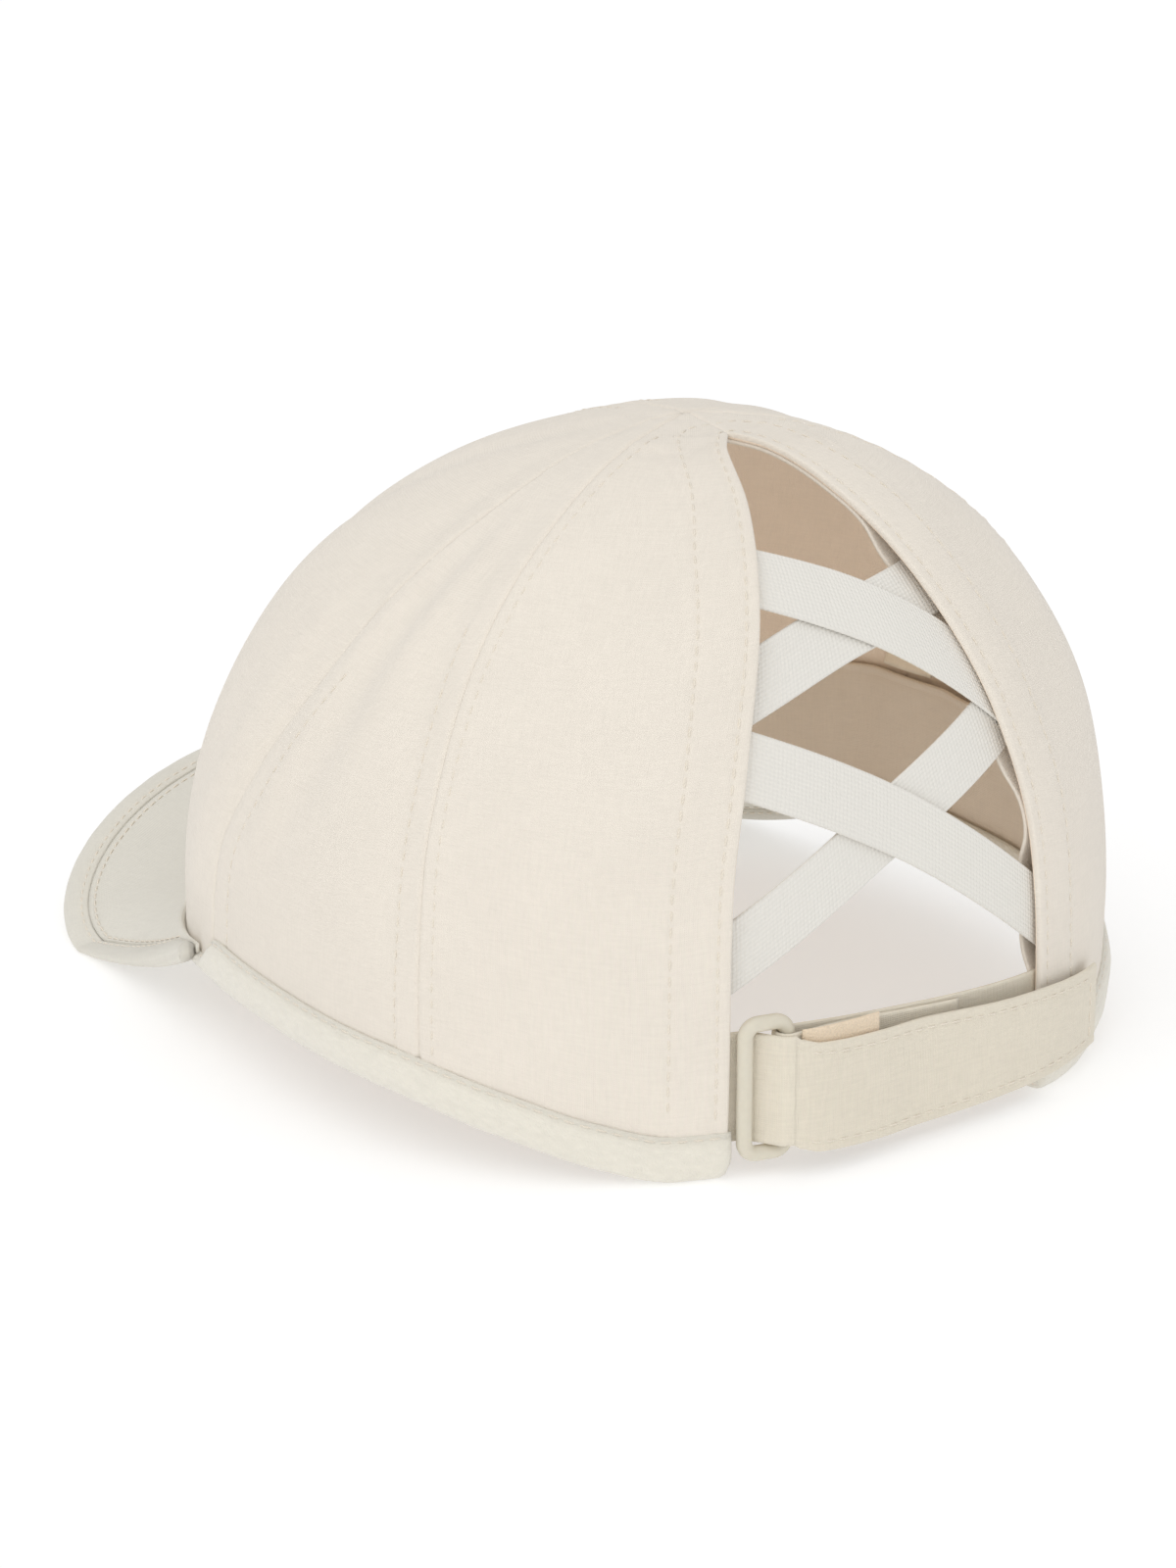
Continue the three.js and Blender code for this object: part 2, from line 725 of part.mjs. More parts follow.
const strapBehindBar = ringWire / 2 + layerGap + strapThickness / 2;
const anchorRound = ringWire / 2 + layerGap + anchorThickness / 2;
const strapOverBar = anchorRound + anchorThickness / 2 + layerGap + strapThickness / 2;
const strapOutside = -(2 * layerGap + hemWall + strapThickness / 2);

// Place on the strap's outer layer, at a share of its length from the right bar to the free end.
const strapEnd = -(planLength(openingHalfWidth) + strapOverlap);
const strapStandOff = strapOverBar - barDepth + strapOutside + strapBulge;

function outerStrap(at) {
  const width = strapWidth * read(STRAP, 'at', 'width', at);
  const middle = strapWidth * read(STRAP, 'at', 'middle', at);
  return {
    length: mix(rightBar, strapEnd, at),
    depth: strapOutside - strapStandOff * read(STRAP, 'at', 'bulge', at),
    low: middle - width / 2,
    high: middle + width / 2,
  };
}

// The strap comes from inside the rear left panel, behind the left bar, out through the window and
// over the right bar, and then lies on the outside of the rear right panel.
function strapPlaces() {
  const slope = Math.asin((strapBehindBar + strapOverBar) / ringBarSpacing) / degrees;
  const low = ringMiddleHeight - strapWidth / 2;
  const high = ringMiddleHeight + strapWidth / 2;
  const edge = planLength(openingHalfWidth);
  const inside = strapInside + strapThickness / 2;
  const threaded = [
    { length: edge + strapTuck, depth: inside },
    { length: edge + strapTuck / 2, depth: inside },
    { length: edge + layerGap, depth: inside },
    ...roundBar(leftBar, strapBehindBar, 90, 180 - slope, 4),
    ...roundBar(rightBar, strapOverBar, -slope, -90, 5),
  ].map((place) => ({ ...place, low, high }));
  const steps = 20;
  const outer = Array.from({ length: steps }, (_, i) => outerStrap((i + 1) / steps));
  return [...threaded, ...outer];
}

// The anchor strap comes from inside the rear right panel, goes round the right bar and back.
function anchorPlaces() {
  const edge = planLength(openingHalfWidth);
  const inside = strapInside + anchorThickness / 2;
  const doubled = inside - anchorThickness - layerGap;
  const low = ringMiddleHeight - strapWidth / 2;
  const high = ringMiddleHeight + strapWidth / 2;
  const lower = strapWidth * anchorDrop;
  const first = [-edge - strapTuck, -edge, -edge / 2, 0, rightBar / 2].map((length) => ({
    length,
    depth: inside,
    low: low - lower * (1 - (length + edge + strapTuck) / (edge + strapTuck + rightBar)),
    high: high - lower * (1 - (length + edge + strapTuck) / (edge + strapTuck + rightBar)),
  }));
  const loop = roundBar(rightBar, anchorRound, 110, -110, 9).map((place) => ({ ...place, low, high }));
  const back = [0.25, 0.5, 0.75, 1].map((share) => ({
    length: rightBar - anchorReturn * share,
    depth: mix(doubled, barDepth - anchorRound, Math.max(0, 1 - share * 2) ** 2),
    low: low - lower * share * returnDropShare,
    high: high - lower * share * returnDropShare,
  }));
  return [...first, ...loop, ...back];
}

// The loop fastener on the anchor strap. It lies against the inside of the strap's outer layer.
function loopPatch() {
  const high = ringMiddleHeight + strapWidth / 2 + patchRise;
  const behindStrap = strapThickness / 2 + layerGap + patchThickness / 2;
  const places = [0, 0.25, 0.5, 0.75, 1].map((share) => {
    const length = rightBar - patchToBar - patchLength * share;
    const { depth } = outerStrap((rightBar - length) / (rightBar - strapEnd));
    return { length, depth: depth + behindStrap, low: high - patchHeight, high };
  });
  return ribbon(places, patchThickness, 1);
}

// Peak, from the front of the lower edge to its outline
const crownFrontY = crownAt(180, 0, 0).y;
const peakFrontY = crownFrontY - peakLength;
const peakWidestY = crownFrontY * peakWidestShare;

// Height of the peak's middle surface above the rest plane.
function peakHeight(x) {
  const share = Math.min(Math.abs(x) / peakHalfWidth, 1);
  return peakSideHeight + (peakTipHeight - peakSideHeight) * (1 - share ** 2) ** peakArchPower;
}

// Outline of the peak: a bend forward from each corner, then a round front.
function peakEdge(turn) {
  const s = Math.min(Math.abs(turn), 1);
  const side = turn < 0 ? -1 : 1;
  if (s <= peakFlankShare) {
    const phi = s / peakFlankShare * Math.PI / 2;
    const x = side * peakHalfWidth * Math.sin(phi) ** (2 / peakPlanPower);
    const y = mix(peakWidestY, peakFrontY, Math.cos(phi) ** (2 / peakPlanPower));
    return new THREE.Vector3(x, y, peakHeight(x));
  }
  const corner = crownAt(side * peakCornerAngle, 0, -peakCornerReach);
  const start = new THREE.Vector3(side * peakHalfWidth, peakWidestY, peakSideHeight);
  const end = corner.setZ(rimHeight(peakCornerAngle) + peakRootHeight + peakCornerRise);
  const bendHeight = peakSideHeight + peakBendRise;
  const bend = new THREE.Vector3(side * peakHalfWidth, mix(peakWidestY, end.y, 0.5), bendHeight);
  const curve = new THREE.QuadraticBezierCurve3(start, bend, end);
  return curve.getPoint((s - peakFlankShare) / (1 - peakFlankShare));
}

// Line where the peak meets the hem, a gap outside it.
const peakRootDepth = -(hemWall + 2 * layerGap + peakThickness / 2);

function peakRoot(turn) {
  const angle = 180 - turn * (180 - peakCornerAngle);
  const foot = crownAt(angle, 0, peakRootDepth);
  foot.z = rimHeight(angle) + peakRootHeight + peakCornerRise * Math.abs(turn) ** peakCornerEase;
  return foot;
}

// The layers turn level towards the corners, where the board is narrow.
const cornerLevelling = 10;

// Point of the peak's middle surface at a turn from -1 to 1 and a reach from 0 to 1.
function peakPoint(turn, reach) {
  return peakRoot(turn).lerp(peakEdge(turn), reach);
}

function peakNormal(turn, reach) {
  const turns = [Math.min(turn + slopeStep, 1), Math.max(turn - slopeStep, -1)];
  const across = peakPoint(turns[0], reach).sub(peakPoint(turns[1], reach));
  const reaches = [Math.min(reach + 2 * slopeStep, 1), Math.max(reach - 2 * slopeStep, 0)];
  const forward = peakPoint(turn, reaches[0]).sub(peakPoint(turn, reaches[1]));
  const normal = across.cross(forward).normalize();
  if (normal.z < 0) normal.negate();
  const up = new THREE.Vector3(0, 0, 1);
  return normal.lerp(up, Math.abs(turn) ** cornerLevelling).normalize();
}

const peakTurn = 0.97;
const leastBoardShare = 0.25;
const cornerWidening = 3;

// Share of the way to the outline where the board stops and the padded rim begins.
function boardShare(turn) {
  const length = peakRoot(turn).distanceTo(peakEdge(turn));
  const gap = peakRimGap * (1 + cornerWidening * Math.abs(turn) ** cornerLevelling);
  return Math.max(1 - (bindingWidth + gap) / length, leastBoardShare);
}

function peakBoard() {
  const face = (offset) => (u, v) => {
    const turn = mix(-peakTurn, peakTurn, u);
    const reach = v * boardShare(turn);
    return peakPoint(turn, reach).addScaledVector(peakNormal(turn, reach), offset);
  };
  return sheet(30, 6, face(peakThickness / 2), face(-peakThickness / 2));
}

function peakBinding() {
  const stations = 40;
  const sections = [];
  for (let station = 0; station <= stations; station += 1) {
    const turn = mix(-peakTurn, peakTurn, station / stations);
    const length = peakRoot(turn).distanceTo(peakEdge(turn));
    const inner = Math.max(1 - bindingWidth / length, leastBoardShare + 2 * peakRimGap / length);
    const near = peakPoint(turn, inner);
    const far = peakPoint(turn, 1);
    const normal = peakNormal(turn, 1);
    const half = bindingThickness / 2;
    const around = (face) => ({ share, lift }) => {
      const point = near.clone().lerp(far, share).addScaledVector(normal, face * lift * half);
      return point.setZ(Math.max(point.z, 0));
    };
    sections.push([...RIM_SECTION.map(around(1)), ...RIM_SECTION.toReversed().map(around(-1))]);
  }
  return sweep(sections, false);
}

addCrown();
addSeamTapes();
add('opening_facing', openingFacing(), cream);
add('sweatband', sweatband(), lining);
add('hem_binding', hemBinding(), towelling);
for (const row of ELASTICS) add(row.name, elastic(row), elasticWhite);
add('closure_strap', ribbon(strapPlaces(), strapThickness, 2), strapCream);
add('anchor_strap', ribbon(anchorPlaces(), anchorThickness, 2), strapCream);
add('loop_patch', loopPatch(), peach);
add('slide_ring', slideRing(), plastic);
add('peak', peakBoard(), cream);
add('peak_binding', peakBinding(), cream);

// The origin is the middle of the box that the cap fills, on the surface that it rests on.
const box = new THREE.Box3().setFromObject(cap);
const part = new THREE.Group();
cap.position.set(-(box.min.x + box.max.x) / 2, -(box.min.y + box.max.y) / 2, -box.min.z);
part.add(cap);

export default part;
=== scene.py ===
"""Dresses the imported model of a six-panel ponytail cap in sewn cloth, elastic, towelling and plastic."""
import math

import bpy
import numpy as np
from mathutils import Matrix, Vector


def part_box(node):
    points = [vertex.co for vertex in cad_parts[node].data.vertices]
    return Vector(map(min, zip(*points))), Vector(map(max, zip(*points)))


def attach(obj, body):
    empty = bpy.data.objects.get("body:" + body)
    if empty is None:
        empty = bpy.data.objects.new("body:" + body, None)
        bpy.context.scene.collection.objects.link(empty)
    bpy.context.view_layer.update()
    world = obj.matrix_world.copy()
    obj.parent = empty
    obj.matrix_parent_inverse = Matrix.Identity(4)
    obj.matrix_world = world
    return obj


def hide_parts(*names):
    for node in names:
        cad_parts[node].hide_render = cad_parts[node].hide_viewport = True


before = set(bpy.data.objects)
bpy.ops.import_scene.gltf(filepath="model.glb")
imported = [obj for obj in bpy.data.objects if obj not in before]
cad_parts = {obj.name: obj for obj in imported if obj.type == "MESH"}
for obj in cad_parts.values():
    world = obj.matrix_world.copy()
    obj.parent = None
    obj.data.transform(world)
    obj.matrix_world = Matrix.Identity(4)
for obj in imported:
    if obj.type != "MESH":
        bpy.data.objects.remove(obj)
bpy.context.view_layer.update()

bl_info = {
    "name": "Ponytail cap",
    "version": (1, 0, 0),
    "blender": (4, 5, 0),
    "location": "3D View > Sidebar > Cap",
    "description": "Makes the cloth, trims, stitches and stage of a six-panel ponytail cap",
    "category": "Object",
}

# Sizes of the crown, in millimetres. Angles run from the middle of the back towards the wearer's
# left, and "up" runs from 0 at the lower edge to 1 at the top of the crown.
CROWN_HALF_WIDTH = 87.3
CROWN_REAR_REACH = 85.9
CROWN_FRONT_REACH = 84.0
CROWN_HEIGHT = 124.5
CROWN_BASE = 1.3
PLAN_SQUARENESS = 2.5
APEX_SET_BACK = 14.4
PANEL_FULLNESS = 1.1
PANEL_SPREAD = 60.0
SWELL_POWER = 1.2
ROW_EASE = 1.35
OPENING_HALF_WIDTH = 36.5
OPENING_TOP = 0.925
ARCH_SHARE = 0.86
TIP_RADIUS = 0.4
SEAM_GAP = 0.04
CLOTH_THICKNESS = 1.2
LEAST_HEIGHT = 0.02

# Steps and limits of the measurements on that shape.
UP_STEP = 0.01
LOWEST_UP = 0.004
HIGHEST_UP = 0.995
HALF_DEGREE = 0.5
SEARCH_REACH = 89.0
SEARCH_ROUNDS = 34
BACK_STATIONS = 120
EDGE_STEP = 0.01

WALL = {
    "angle": (0, 45, 90, 135, 180),
    "lean": (0.87, 0.92, 1.03, 1.05, 1.04),
    "rise": (0.66, 0.75, 0.90, 0.87, 0.84),
}
RIM = {
    "angle": (0, 30, 39, 50, 66, 90, 108, 135, 180),
    "height": (0, 0, 0.025, 0.066, 0.105, 0.12, 0.125, 0.1, 0.095),
}
SEAMS = {
    "up": (0, 0.2, 0.35, 0.5, 0.66, 0.8, 1),
    "side": (60.3, 60.8, 61.7, 61.4, 60.5, 58.5, 55),
    "front": (105.5, 106, 100.5, 93, 86.5, 82, 84),
}
OPENING = {
    "along": (0, 0.22, 0.34, 0.5, 0.68, 0.84, 0.95, 1),
    "half": (1, 0.985, 0.95, 0.79, 0.53, 0.28, 0.12, 0),
    "up": (0, 0.18, 0.28, 0.43, 0.6, 0.77, 0.885, 0.925),
}

# Rows of topstitching beside each seam: distance from the seam in millimetres, positive towards
# the front, and the places up the wall where the row starts and stops.
STITCH_ROWS = (
    {"seam": "side", "offset": -3.0, "low": 0.05, "high": 0.93},
    {"seam": "side", "offset": 5.4, "low": 0.05, "high": 0.6},
    {"seam": "front", "offset": -7.0, "low": 0.05, "high": 0.52},
    {"seam": "middle", "offset": -4.6, "low": 0.05, "high": 0.93},
)

# How each seam is drawn in: depth and half width of its groove, and the height of the turned cloth
# beside it, in millimetres. The front seam pulls into a sharp crease between two places up the wall.
SEWING = (
    {"seam": "side", "depth": 0.2, "half": 0.6, "welt": 0.16, "crease": 0.0, "low": 0, "high": 1},
    {"seam": "front", "depth": 0.15, "half": 0.6, "welt": 0.1, "crease": 0.75, "low": 0.14, "high": 0.6},
    {"seam": "middle", "depth": 0.2, "half": 0.6, "welt": 0.15, "crease": 0.0, "low": 0, "high": 1},
)

# Soft creases that the sewing pulls into the crown: places as angle and up, and the depth and half
# width in millimetres. A negative depth is a ridge.
CREASES = (
    {"angle": (104, 99, 97, 94, 90, 84), "up": (0.38, 0.5, 0.6, 0.7, 0.8, 0.95), "depth": 1.0, "half": 5},
    {"angle": (113, 112, 106.5, 101, 96, 92, 88), "up": (0.08, 0.25, 0.36, 0.5, 0.63, 0.76, 0.92),
     "depth": -1.1, "half": 6},
    {"angle": (98, 93, 88, 84, 82), "up": (0.2, 0.36, 0.5, 0.63, 0.8), "depth": -0.8, "half": 4},
    {"angle": (92, 87, 83, 80, 78, 76), "up": (0.22, 0.34, 0.46, 0.58, 0.7, 0.88), "depth": 1.2, "half": 5},
    {"angle": (78, 76, 74, 73), "up": (0.3, 0.46, 0.62, 0.85), "depth": -0.6, "half": 5},
    {"angle": (65, 66, 67.5, 68.5, 67.5, 66), "up": (0.12, 0.36, 0.5, 0.62, 0.74, 0.92),
     "depth": 1.0, "half": 4.5},
    {"angle": (140, 136, 124, 105), "up": (0.45, 0.62, 0.8, 0.97), "depth": 0.7, "half": 4},
    {"angle": (40, 38, 34), "up": (0.2, 0.5, 0.85), "depth": 0.5, "half": 9},
)

# The rear panel on the wearer's right stands a little fuller, as the strap pulls it.
FULL_SIDE = {"angle": -74, "spread": 24, "up": 0.36, "tall": 0.3, "height": 3.4}


def read(table, key, column, at, flat_ends=True):
    """Smooth value of one column of a table, with no overshoot between its rows."""
    x = np.array(table[key], float)
    y = np.array(table[column], float)
    at = np.clip(np.asarray(at, float), x[0], x[-1])
    steps = np.diff(y) / np.diff(x)
    product = steps[:-1] * steps[1:]
    total = np.where(product > 0, steps[:-1] + steps[1:], 1)
    ends = (0, 0) if flat_ends else (steps[0], steps[-1])
    slope = np.concatenate([[ends[0]], np.where(product > 0, 2 * product / total, 0), [ends[1]]])
    i = np.clip(np.searchsorted(x, at, side="right") - 1, 0, len(x) - 2)
    span = x[i + 1] - x[i]
    s = (at - x[i]) / span
    rest = 1 - s
    ease = span * s * rest * (slope[i] * rest - slope[i + 1] * s)
    return y[i] * (1 + 2 * s) * rest * rest + y[i + 1] * s * s * (3 - 2 * s) + ease


def mix(a, b, share):
    return a + (b - a) * share


def bell(distance, width):
    return np.exp(-(distance / width) ** 2)


def within(distance, reach, ease):
    """1 inside a reach and 0 outside it, with a soft step between."""
    return 1 / (1 + np.exp((np.abs(distance) - reach) / ease))


def unit(vectors):
    return vectors / np.maximum(np.linalg.norm(vectors, axis=-1, keepdims=True), 1e-9)


def folded(angle):
    """The same angle folded into 0 to 180 degrees, because the cap is symmetrical."""
    turn = np.mod(angle, 360)
    return np.minimum(turn, 360 - turn)


def rim_height(angle):
    return CROWN_BASE + CROWN_HEIGHT * read(RIM, "angle", "height", folded(angle))


def swell(angle, up):
    """How far each panel swells out between its seams, from 0 at a seam to 1 in the middle."""
    turn = folded(angle)
    side = read(SEAMS, "up", "side", up)
    front = read(SEAMS, "up", "front", up)
    low = np.where(turn < side, side - PANEL_SPREAD, np.where(turn < front, side, front))
    high = np.where(turn < side, side, np.where(turn < front, front, 180))
    share = np.clip((turn - low) / (high - low), 0, 1)
    return np.maximum(np.sin(np.pi * share), 0) ** SWELL_POWER


def crown_point(angle, up):
    """Points of the crown's outer face for arrays of angles and of places up the wall."""
    angle, up = np.broadcast_arrays(np.asarray(angle, float), np.asarray(up, float))
    turn = folded(angle)
    tau = np.pi / 2 * np.maximum(up, 0) ** ROW_EASE
    reach = np.maximum(np.cos(tau), 0) ** read(WALL, "angle", "lean", turn)
    stand = np.maximum(np.sin(tau), 0) ** read(WALL, "angle", "rise", turn)
    sine, cosine = np.sin(np.radians(angle)), np.cos(np.radians(angle))
    powers = np.abs(sine) ** PLAN_SQUARENESS + np.abs(cosine) ** PLAN_SQUARENESS
    round_ = powers ** (-1 / PLAN_SQUARENESS)
    full = PANEL_FULLNESS * swell(angle, up) * np.sin(np.pi * np.clip(up, 0, 1)) * round_
    length = np.where(cosine > 0, CROWN_REAR_REACH, CROWN_FRONT_REACH)
    rim = rim_height(angle)
    return np.stack([
        (CROWN_HALF_WIDTH * round_ * reach + full) * sine,
        (length * round_ * reach + full) * cosine + APEX_SET_BACK * (1 - reach),
        rim + (CROWN_BASE + CROWN_HEIGHT - rim) * stand,
    ], -1)


def crown_normal(angle, up):
    above = crown_point(angle, np.minimum(up + UP_STEP, HIGHEST_UP))
    below = crown_point(angle, np.maximum(up - UP_STEP, LOWEST_UP))
    turn = crown_point(angle + HALF_DEGREE, up) - crown_point(angle - HALF_DEGREE, up)
    return unit(np.cross(above - below, turn))


def per_degree(angle, up):
    """Length along the cloth of one degree of angle, in millimetres."""
    ahead = crown_point(angle + HALF_DEGREE, up)
    return np.linalg.norm(ahead - crown_point(angle - HALF_DEGREE, up), axis=-1)


def up_at_reach(distance):
    """Place up the wall where the crown has narrowed to a distance from its top."""
    return (math.acos(distance / CROWN_HALF_WIDTH) / (math.pi / 2)) ** (1 / ROW_EASE)


def up_at_height(angle, height):
    rise = read(WALL, "angle", "rise", folded(angle))
    share = np.clip(height / (CROWN_BASE + CROWN_HEIGHT - rim_height(angle)), 0, 1)
    return (np.arcsin(share ** (1 / rise)) / (np.pi / 2)) ** (1 / ROW_EASE)


def angle_at_x(x, up):
    """Angle at which the wall is a distance from the middle plane, near the back."""
    x, up = np.broadcast_arrays(np.asarray(x, float), np.asarray(up, float))
    low, high = np.full(x.shape, -SEARCH_REACH), np.full(x.shape, SEARCH_REACH)
    for _ in range(SEARCH_ROUNDS):
        middle = (low + high) / 2
        short = crown_point(middle, up)[..., 0] < x
        low, high = np.where(short, middle, low), np.where(short, high, middle)
    return (low + high) / 2


BACK_PLACES = np.linspace(0, 1, BACK_STATIONS + 1)
BACK_STEPS = np.linalg.norm(np.diff(crown_point(0, BACK_PLACES), axis=0), axis=1)
BACK_LENGTHS = np.concatenate([[0], np.cumsum(BACK_STEPS)])


def length_at_up(up):
    return np.interp(up, BACK_PLACES, BACK_LENGTHS)


def up_at_length(length):
    return np.interp(length, BACK_LENGTHS, BACK_PLACES)


def edge_chart(along, side):
    """The opening's edge in a flat chart: distance from the middle plane and length up the wall."""
    half = OPENING_HALF_WIDTH * read(OPENING, "along", "half", along, False)
    up = read(OPENING, "along", "up", along, False) * OPENING_TOP / OPENING["up"][-1]
    return np.stack(np.broadcast_arrays(side * half, length_at_up(up)), -1)


def edge_direction(along, side):
    """Direction of the opening's edge in the flat chart, from its foot towards its top."""
    ahead = edge_chart(np.minimum(along + EDGE_STEP, 1), side)
    return unit(ahead - edge_chart(np.maximum(along - EDGE_STEP, 0), side))


def chart_angle(place):
    up = up_at_length(place[..., 1])
    return angle_at_x(place[..., 0], up), up


def edge_distance(angle, up):
    """Distance along the cloth from the opening's edge, at the back of the crown."""
    share = np.minimum(up * OPENING["up"][-1] / OPENING_TOP, OPENING["up"][-1])
    half = OPENING_HALF_WIDTH * read(OPENING, "up", "half", share, False)
    above = OPENING_HALF_WIDTH * read(OPENING, "up", "half", share + EDGE_STEP, False)
    rise = length_at_up(up + EDGE_STEP) - length_at_up(up)
    slope = (above - half) / np.maximum(rise, 1e-3)
    return (np.abs(crown_point(angle, up)[..., 0]) - half) / np.sqrt(1 + slope * slope)


# Waves of the soft cloth: a few long ripples that cross each other, the same in every run. Creases and
# waves fade at the crown's foot and top, as shares of the way up, and beside the opening.
WAVE_COUNT = 9
WAVE_LENGTHS = (28, 75)
WAVE_HEIGHT = 0.11
CREASE_FADE = 0.7
FLAT_FOOT = 0.12
FLAT_TOP = 0.1
FLAT_BY_OPENING = 5
REAR_TURN = 75
waves = np.random.default_rng(11)
WAVE_WAYS = unit(waves.normal(size=(WAVE_COUNT, 3)))
WAVE_STEPS = 2 * np.pi / waves.uniform(*WAVE_LENGTHS, WAVE_COUNT)
WAVE_STARTS = waves.uniform(0, 2 * np.pi, WAVE_COUNT)


def ripples(points):
    phase = points @ (WAVE_WAYS * WAVE_STEPS[:, None]).T + WAVE_STARTS
    return WAVE_HEIGHT * np.sin(phase).sum(axis=-1)


def crease_depth(angle, up):
    total = 0
    size = per_degree(angle, up)
    turn = folded(angle)
    for crease in CREASES:
        line = np.interp(up, crease["up"], crease["angle"])
        low, high = crease["up"][0], crease["up"][-1]
        share = np.clip((up - low) / (high - low), 0, 1)
        fade = np.sin(np.pi * share) ** CREASE_FADE
        total = total + crease["depth"] * fade * bell((turn - line) * size, crease["half"])
    return total


def soft_relief(angle, up):
    """Relief in millimetres that every layer of the crown follows: creases and ripples."""
    settle = np.clip(up / FLAT_FOOT, 0, 1) * np.clip((1 - up) / FLAT_TOP, 0, 1)
    edge = 1 - bell(np.maximum(edge_distance(angle, up), 0), FLAT_BY_OPENING) * (up < OPENING_TOP)
    near_back = np.where(folded(angle) < REAR_TURN, edge, 1)
    full = bell(angle - FULL_SIDE["angle"], FULL_SIDE["spread"])
    full = full * bell(up - FULL_SIDE["up"], FULL_SIDE["tall"])
    pulled = ripples(crown_point(angle, up)) - crease_depth(angle, up)
    return settle * (near_back * pulled + FULL_SIDE["height"] * full)


def seam_line(seam, up):
    return np.full(np.shape(up), 180.0) if seam == "middle" else read(SEAMS, "up", seam, up)


# Relief of the sewing, in millimetres. Puckers are the small waves that the stitches pull into the
# cloth, and their spacing wanders a little along the row.
WELT_REACH = 5.2
WELT_EASE = 0.6
CREASE_HALF = 2.0
DIP_DEPTH = 0.16
DIP_HALF = 0.55
PUCKER_HEIGHT = 0.08
PUCKER_PITCH = 5.7
PUCKER_HALF = 3
SEAM_WANDER = 1.3
SEAM_WANDER_LENGTH = 17
EDGE_WANDER = 1.1
EDGE_WANDER_LENGTH = 13
FACING_DIP = 1.2
FACING_REACH = 12.3
FACING_STITCH = 11.0
EDGE_STITCH = 2.6
FACING_HEIGHT = 0.3
FACING_EASE = 0.35


def sewn_relief(angle, up):
    """Relief of the outer face: seam grooves, the welt of turned cloth beside them, stitch rows."""
    size = per_degree(angle, up)
    turn = folded(angle)
    length = length_at_up(up)
    total = np.zeros(np.shape(turn))
    for sewn in SEWING:
        seam = sewn["seam"]
        away = (turn - seam_line(seam, up)) * size
        total -= sewn["depth"] * bell(away, sewn["half"])
        total += sewn["welt"] * within(away, WELT_REACH, WELT_EASE)
        share = np.clip((up - sewn["low"]) / (sewn["high"] - sewn["low"]), 0, 1)
        total -= sewn["crease"] * np.sin(np.pi * share) * bell(away, CREASE_HALF)
        wobble = SEAM_WANDER * np.sin(length / SEAM_WANDER_LENGTH + len(seam))
        pucker = np.sin(2 * np.pi * length / PUCKER_PITCH + wobble + np.sign(away))
        total += PUCKER_HEIGHT * pucker * bell(np.abs(away) - PUCKER_HALF, PUCKER_HALF)
    for row in STITCH_ROWS:
        away = (turn - seam_line(row["seam"], up)) * size - row["offset"]
        lasts = (up > row["low"]) & (up < row["high"])
        total -= DIP_DEPTH * lasts * bell(away, DIP_HALF)
    near = edge_distance(angle, up)
    behind = (turn < REAR_TURN) & (up < OPENING_TOP)
    total += FACING_HEIGHT * behind * within(near, FACING_REACH, FACING_EASE)
    wander = EDGE_WANDER * np.sin(length / EDGE_WANDER_LENGTH)
    wave = np.sin(2 * np.pi * length / PUCKER_PITCH + wander)
    total += PUCKER_HEIGHT * behind * wave * bell(near - FACING_STITCH, PUCKER_HALF)
    total -= FACING_DIP * DIP_DEPTH * behind * bell(near - FACING_STITCH, DIP_HALF)
    total -= DIP_DEPTH * behind * bell(near - EDGE_STITCH, DIP_HALF)
    return total


def lay(angle, up, depth, relief=0.0):
    """Points a depth inside the crown's outer face, moved out by a relief."""
    offset = np.asarray(relief) - np.asarray(depth)
    return crown_point(angle, up) + offset[..., None] * crown_normal(angle, up)


# The crown is measured from its own middle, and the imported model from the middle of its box. The
# foremost part of the crown's foot is in both, so it gives the distance between them.
FRONT_ANGLES = np.linspace(120, 180, 241)[:, None]
FRONT_UPS = np.linspace(0, 0.3, 61)
CROWN_FRONT = crown_point(FRONT_ANGLES, FRONT_UPS)[..., 1].min()
OFFSET = np.array([0.0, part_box("crown_front_left")[0][1] * 1000 - CROWN_FRONT, 0.0])


def quads_of(a, b, c, d):
    return np.stack([a, b, c, d], -1).reshape(-1, 4)


def signed_volume(points, faces):
    a, b, c, d = (points[faces[:, i]] for i in range(4))
    first = np.einsum("ij,ij->i", a, np.cross(b, c))
    second = np.einsum("ij,ij->i", a, np.cross(c, d))
    return (first + second).sum()


def make_piece(name, points, faces, cloth, finishes, replaced=(), kinds=None):
    """A mesh object from points in millimetres, with its place on the cloth kept for the weave."""
    if signed_volume(points, faces) < 0:
        faces = faces[:, ::-1]
    mesh = bpy.data.meshes.new(name)
    mesh.vertices.add(len(points))
    mesh.vertices.foreach_set("co", ((points + OFFSET) * 0.001).astype(np.float32).ravel())
    mesh.loops.add(faces.size)
    mesh.loops.foreach_set("vertex_index", faces.astype(np.int32).ravel())
    mesh.polygons.add(len(faces))
    mesh.polygons.foreach_set("loop_start", np.arange(0, faces.size, 4, dtype=np.int32))
    for finish in finishes:
        mesh.materials.append(bpy.data.materials[finish])
    if kinds is not None:
        mesh.polygons.foreach_set("material_index", kinds.astype(np.int32))
    mesh.update(calc_edges=True)
    mesh.validate()
    mesh.shade_smooth()
    threads = mesh.attributes.new("cloth", "FLOAT_VECTOR", "POINT")
    threads.data.foreach_set("vector", cloth.astype(np.float32).ravel())
    piece = bpy.data.objects.new(name, mesh)
    bpy.context.scene.collection.objects.link(piece)
    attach(piece, "root")
    if replaced:
        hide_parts(*replaced)


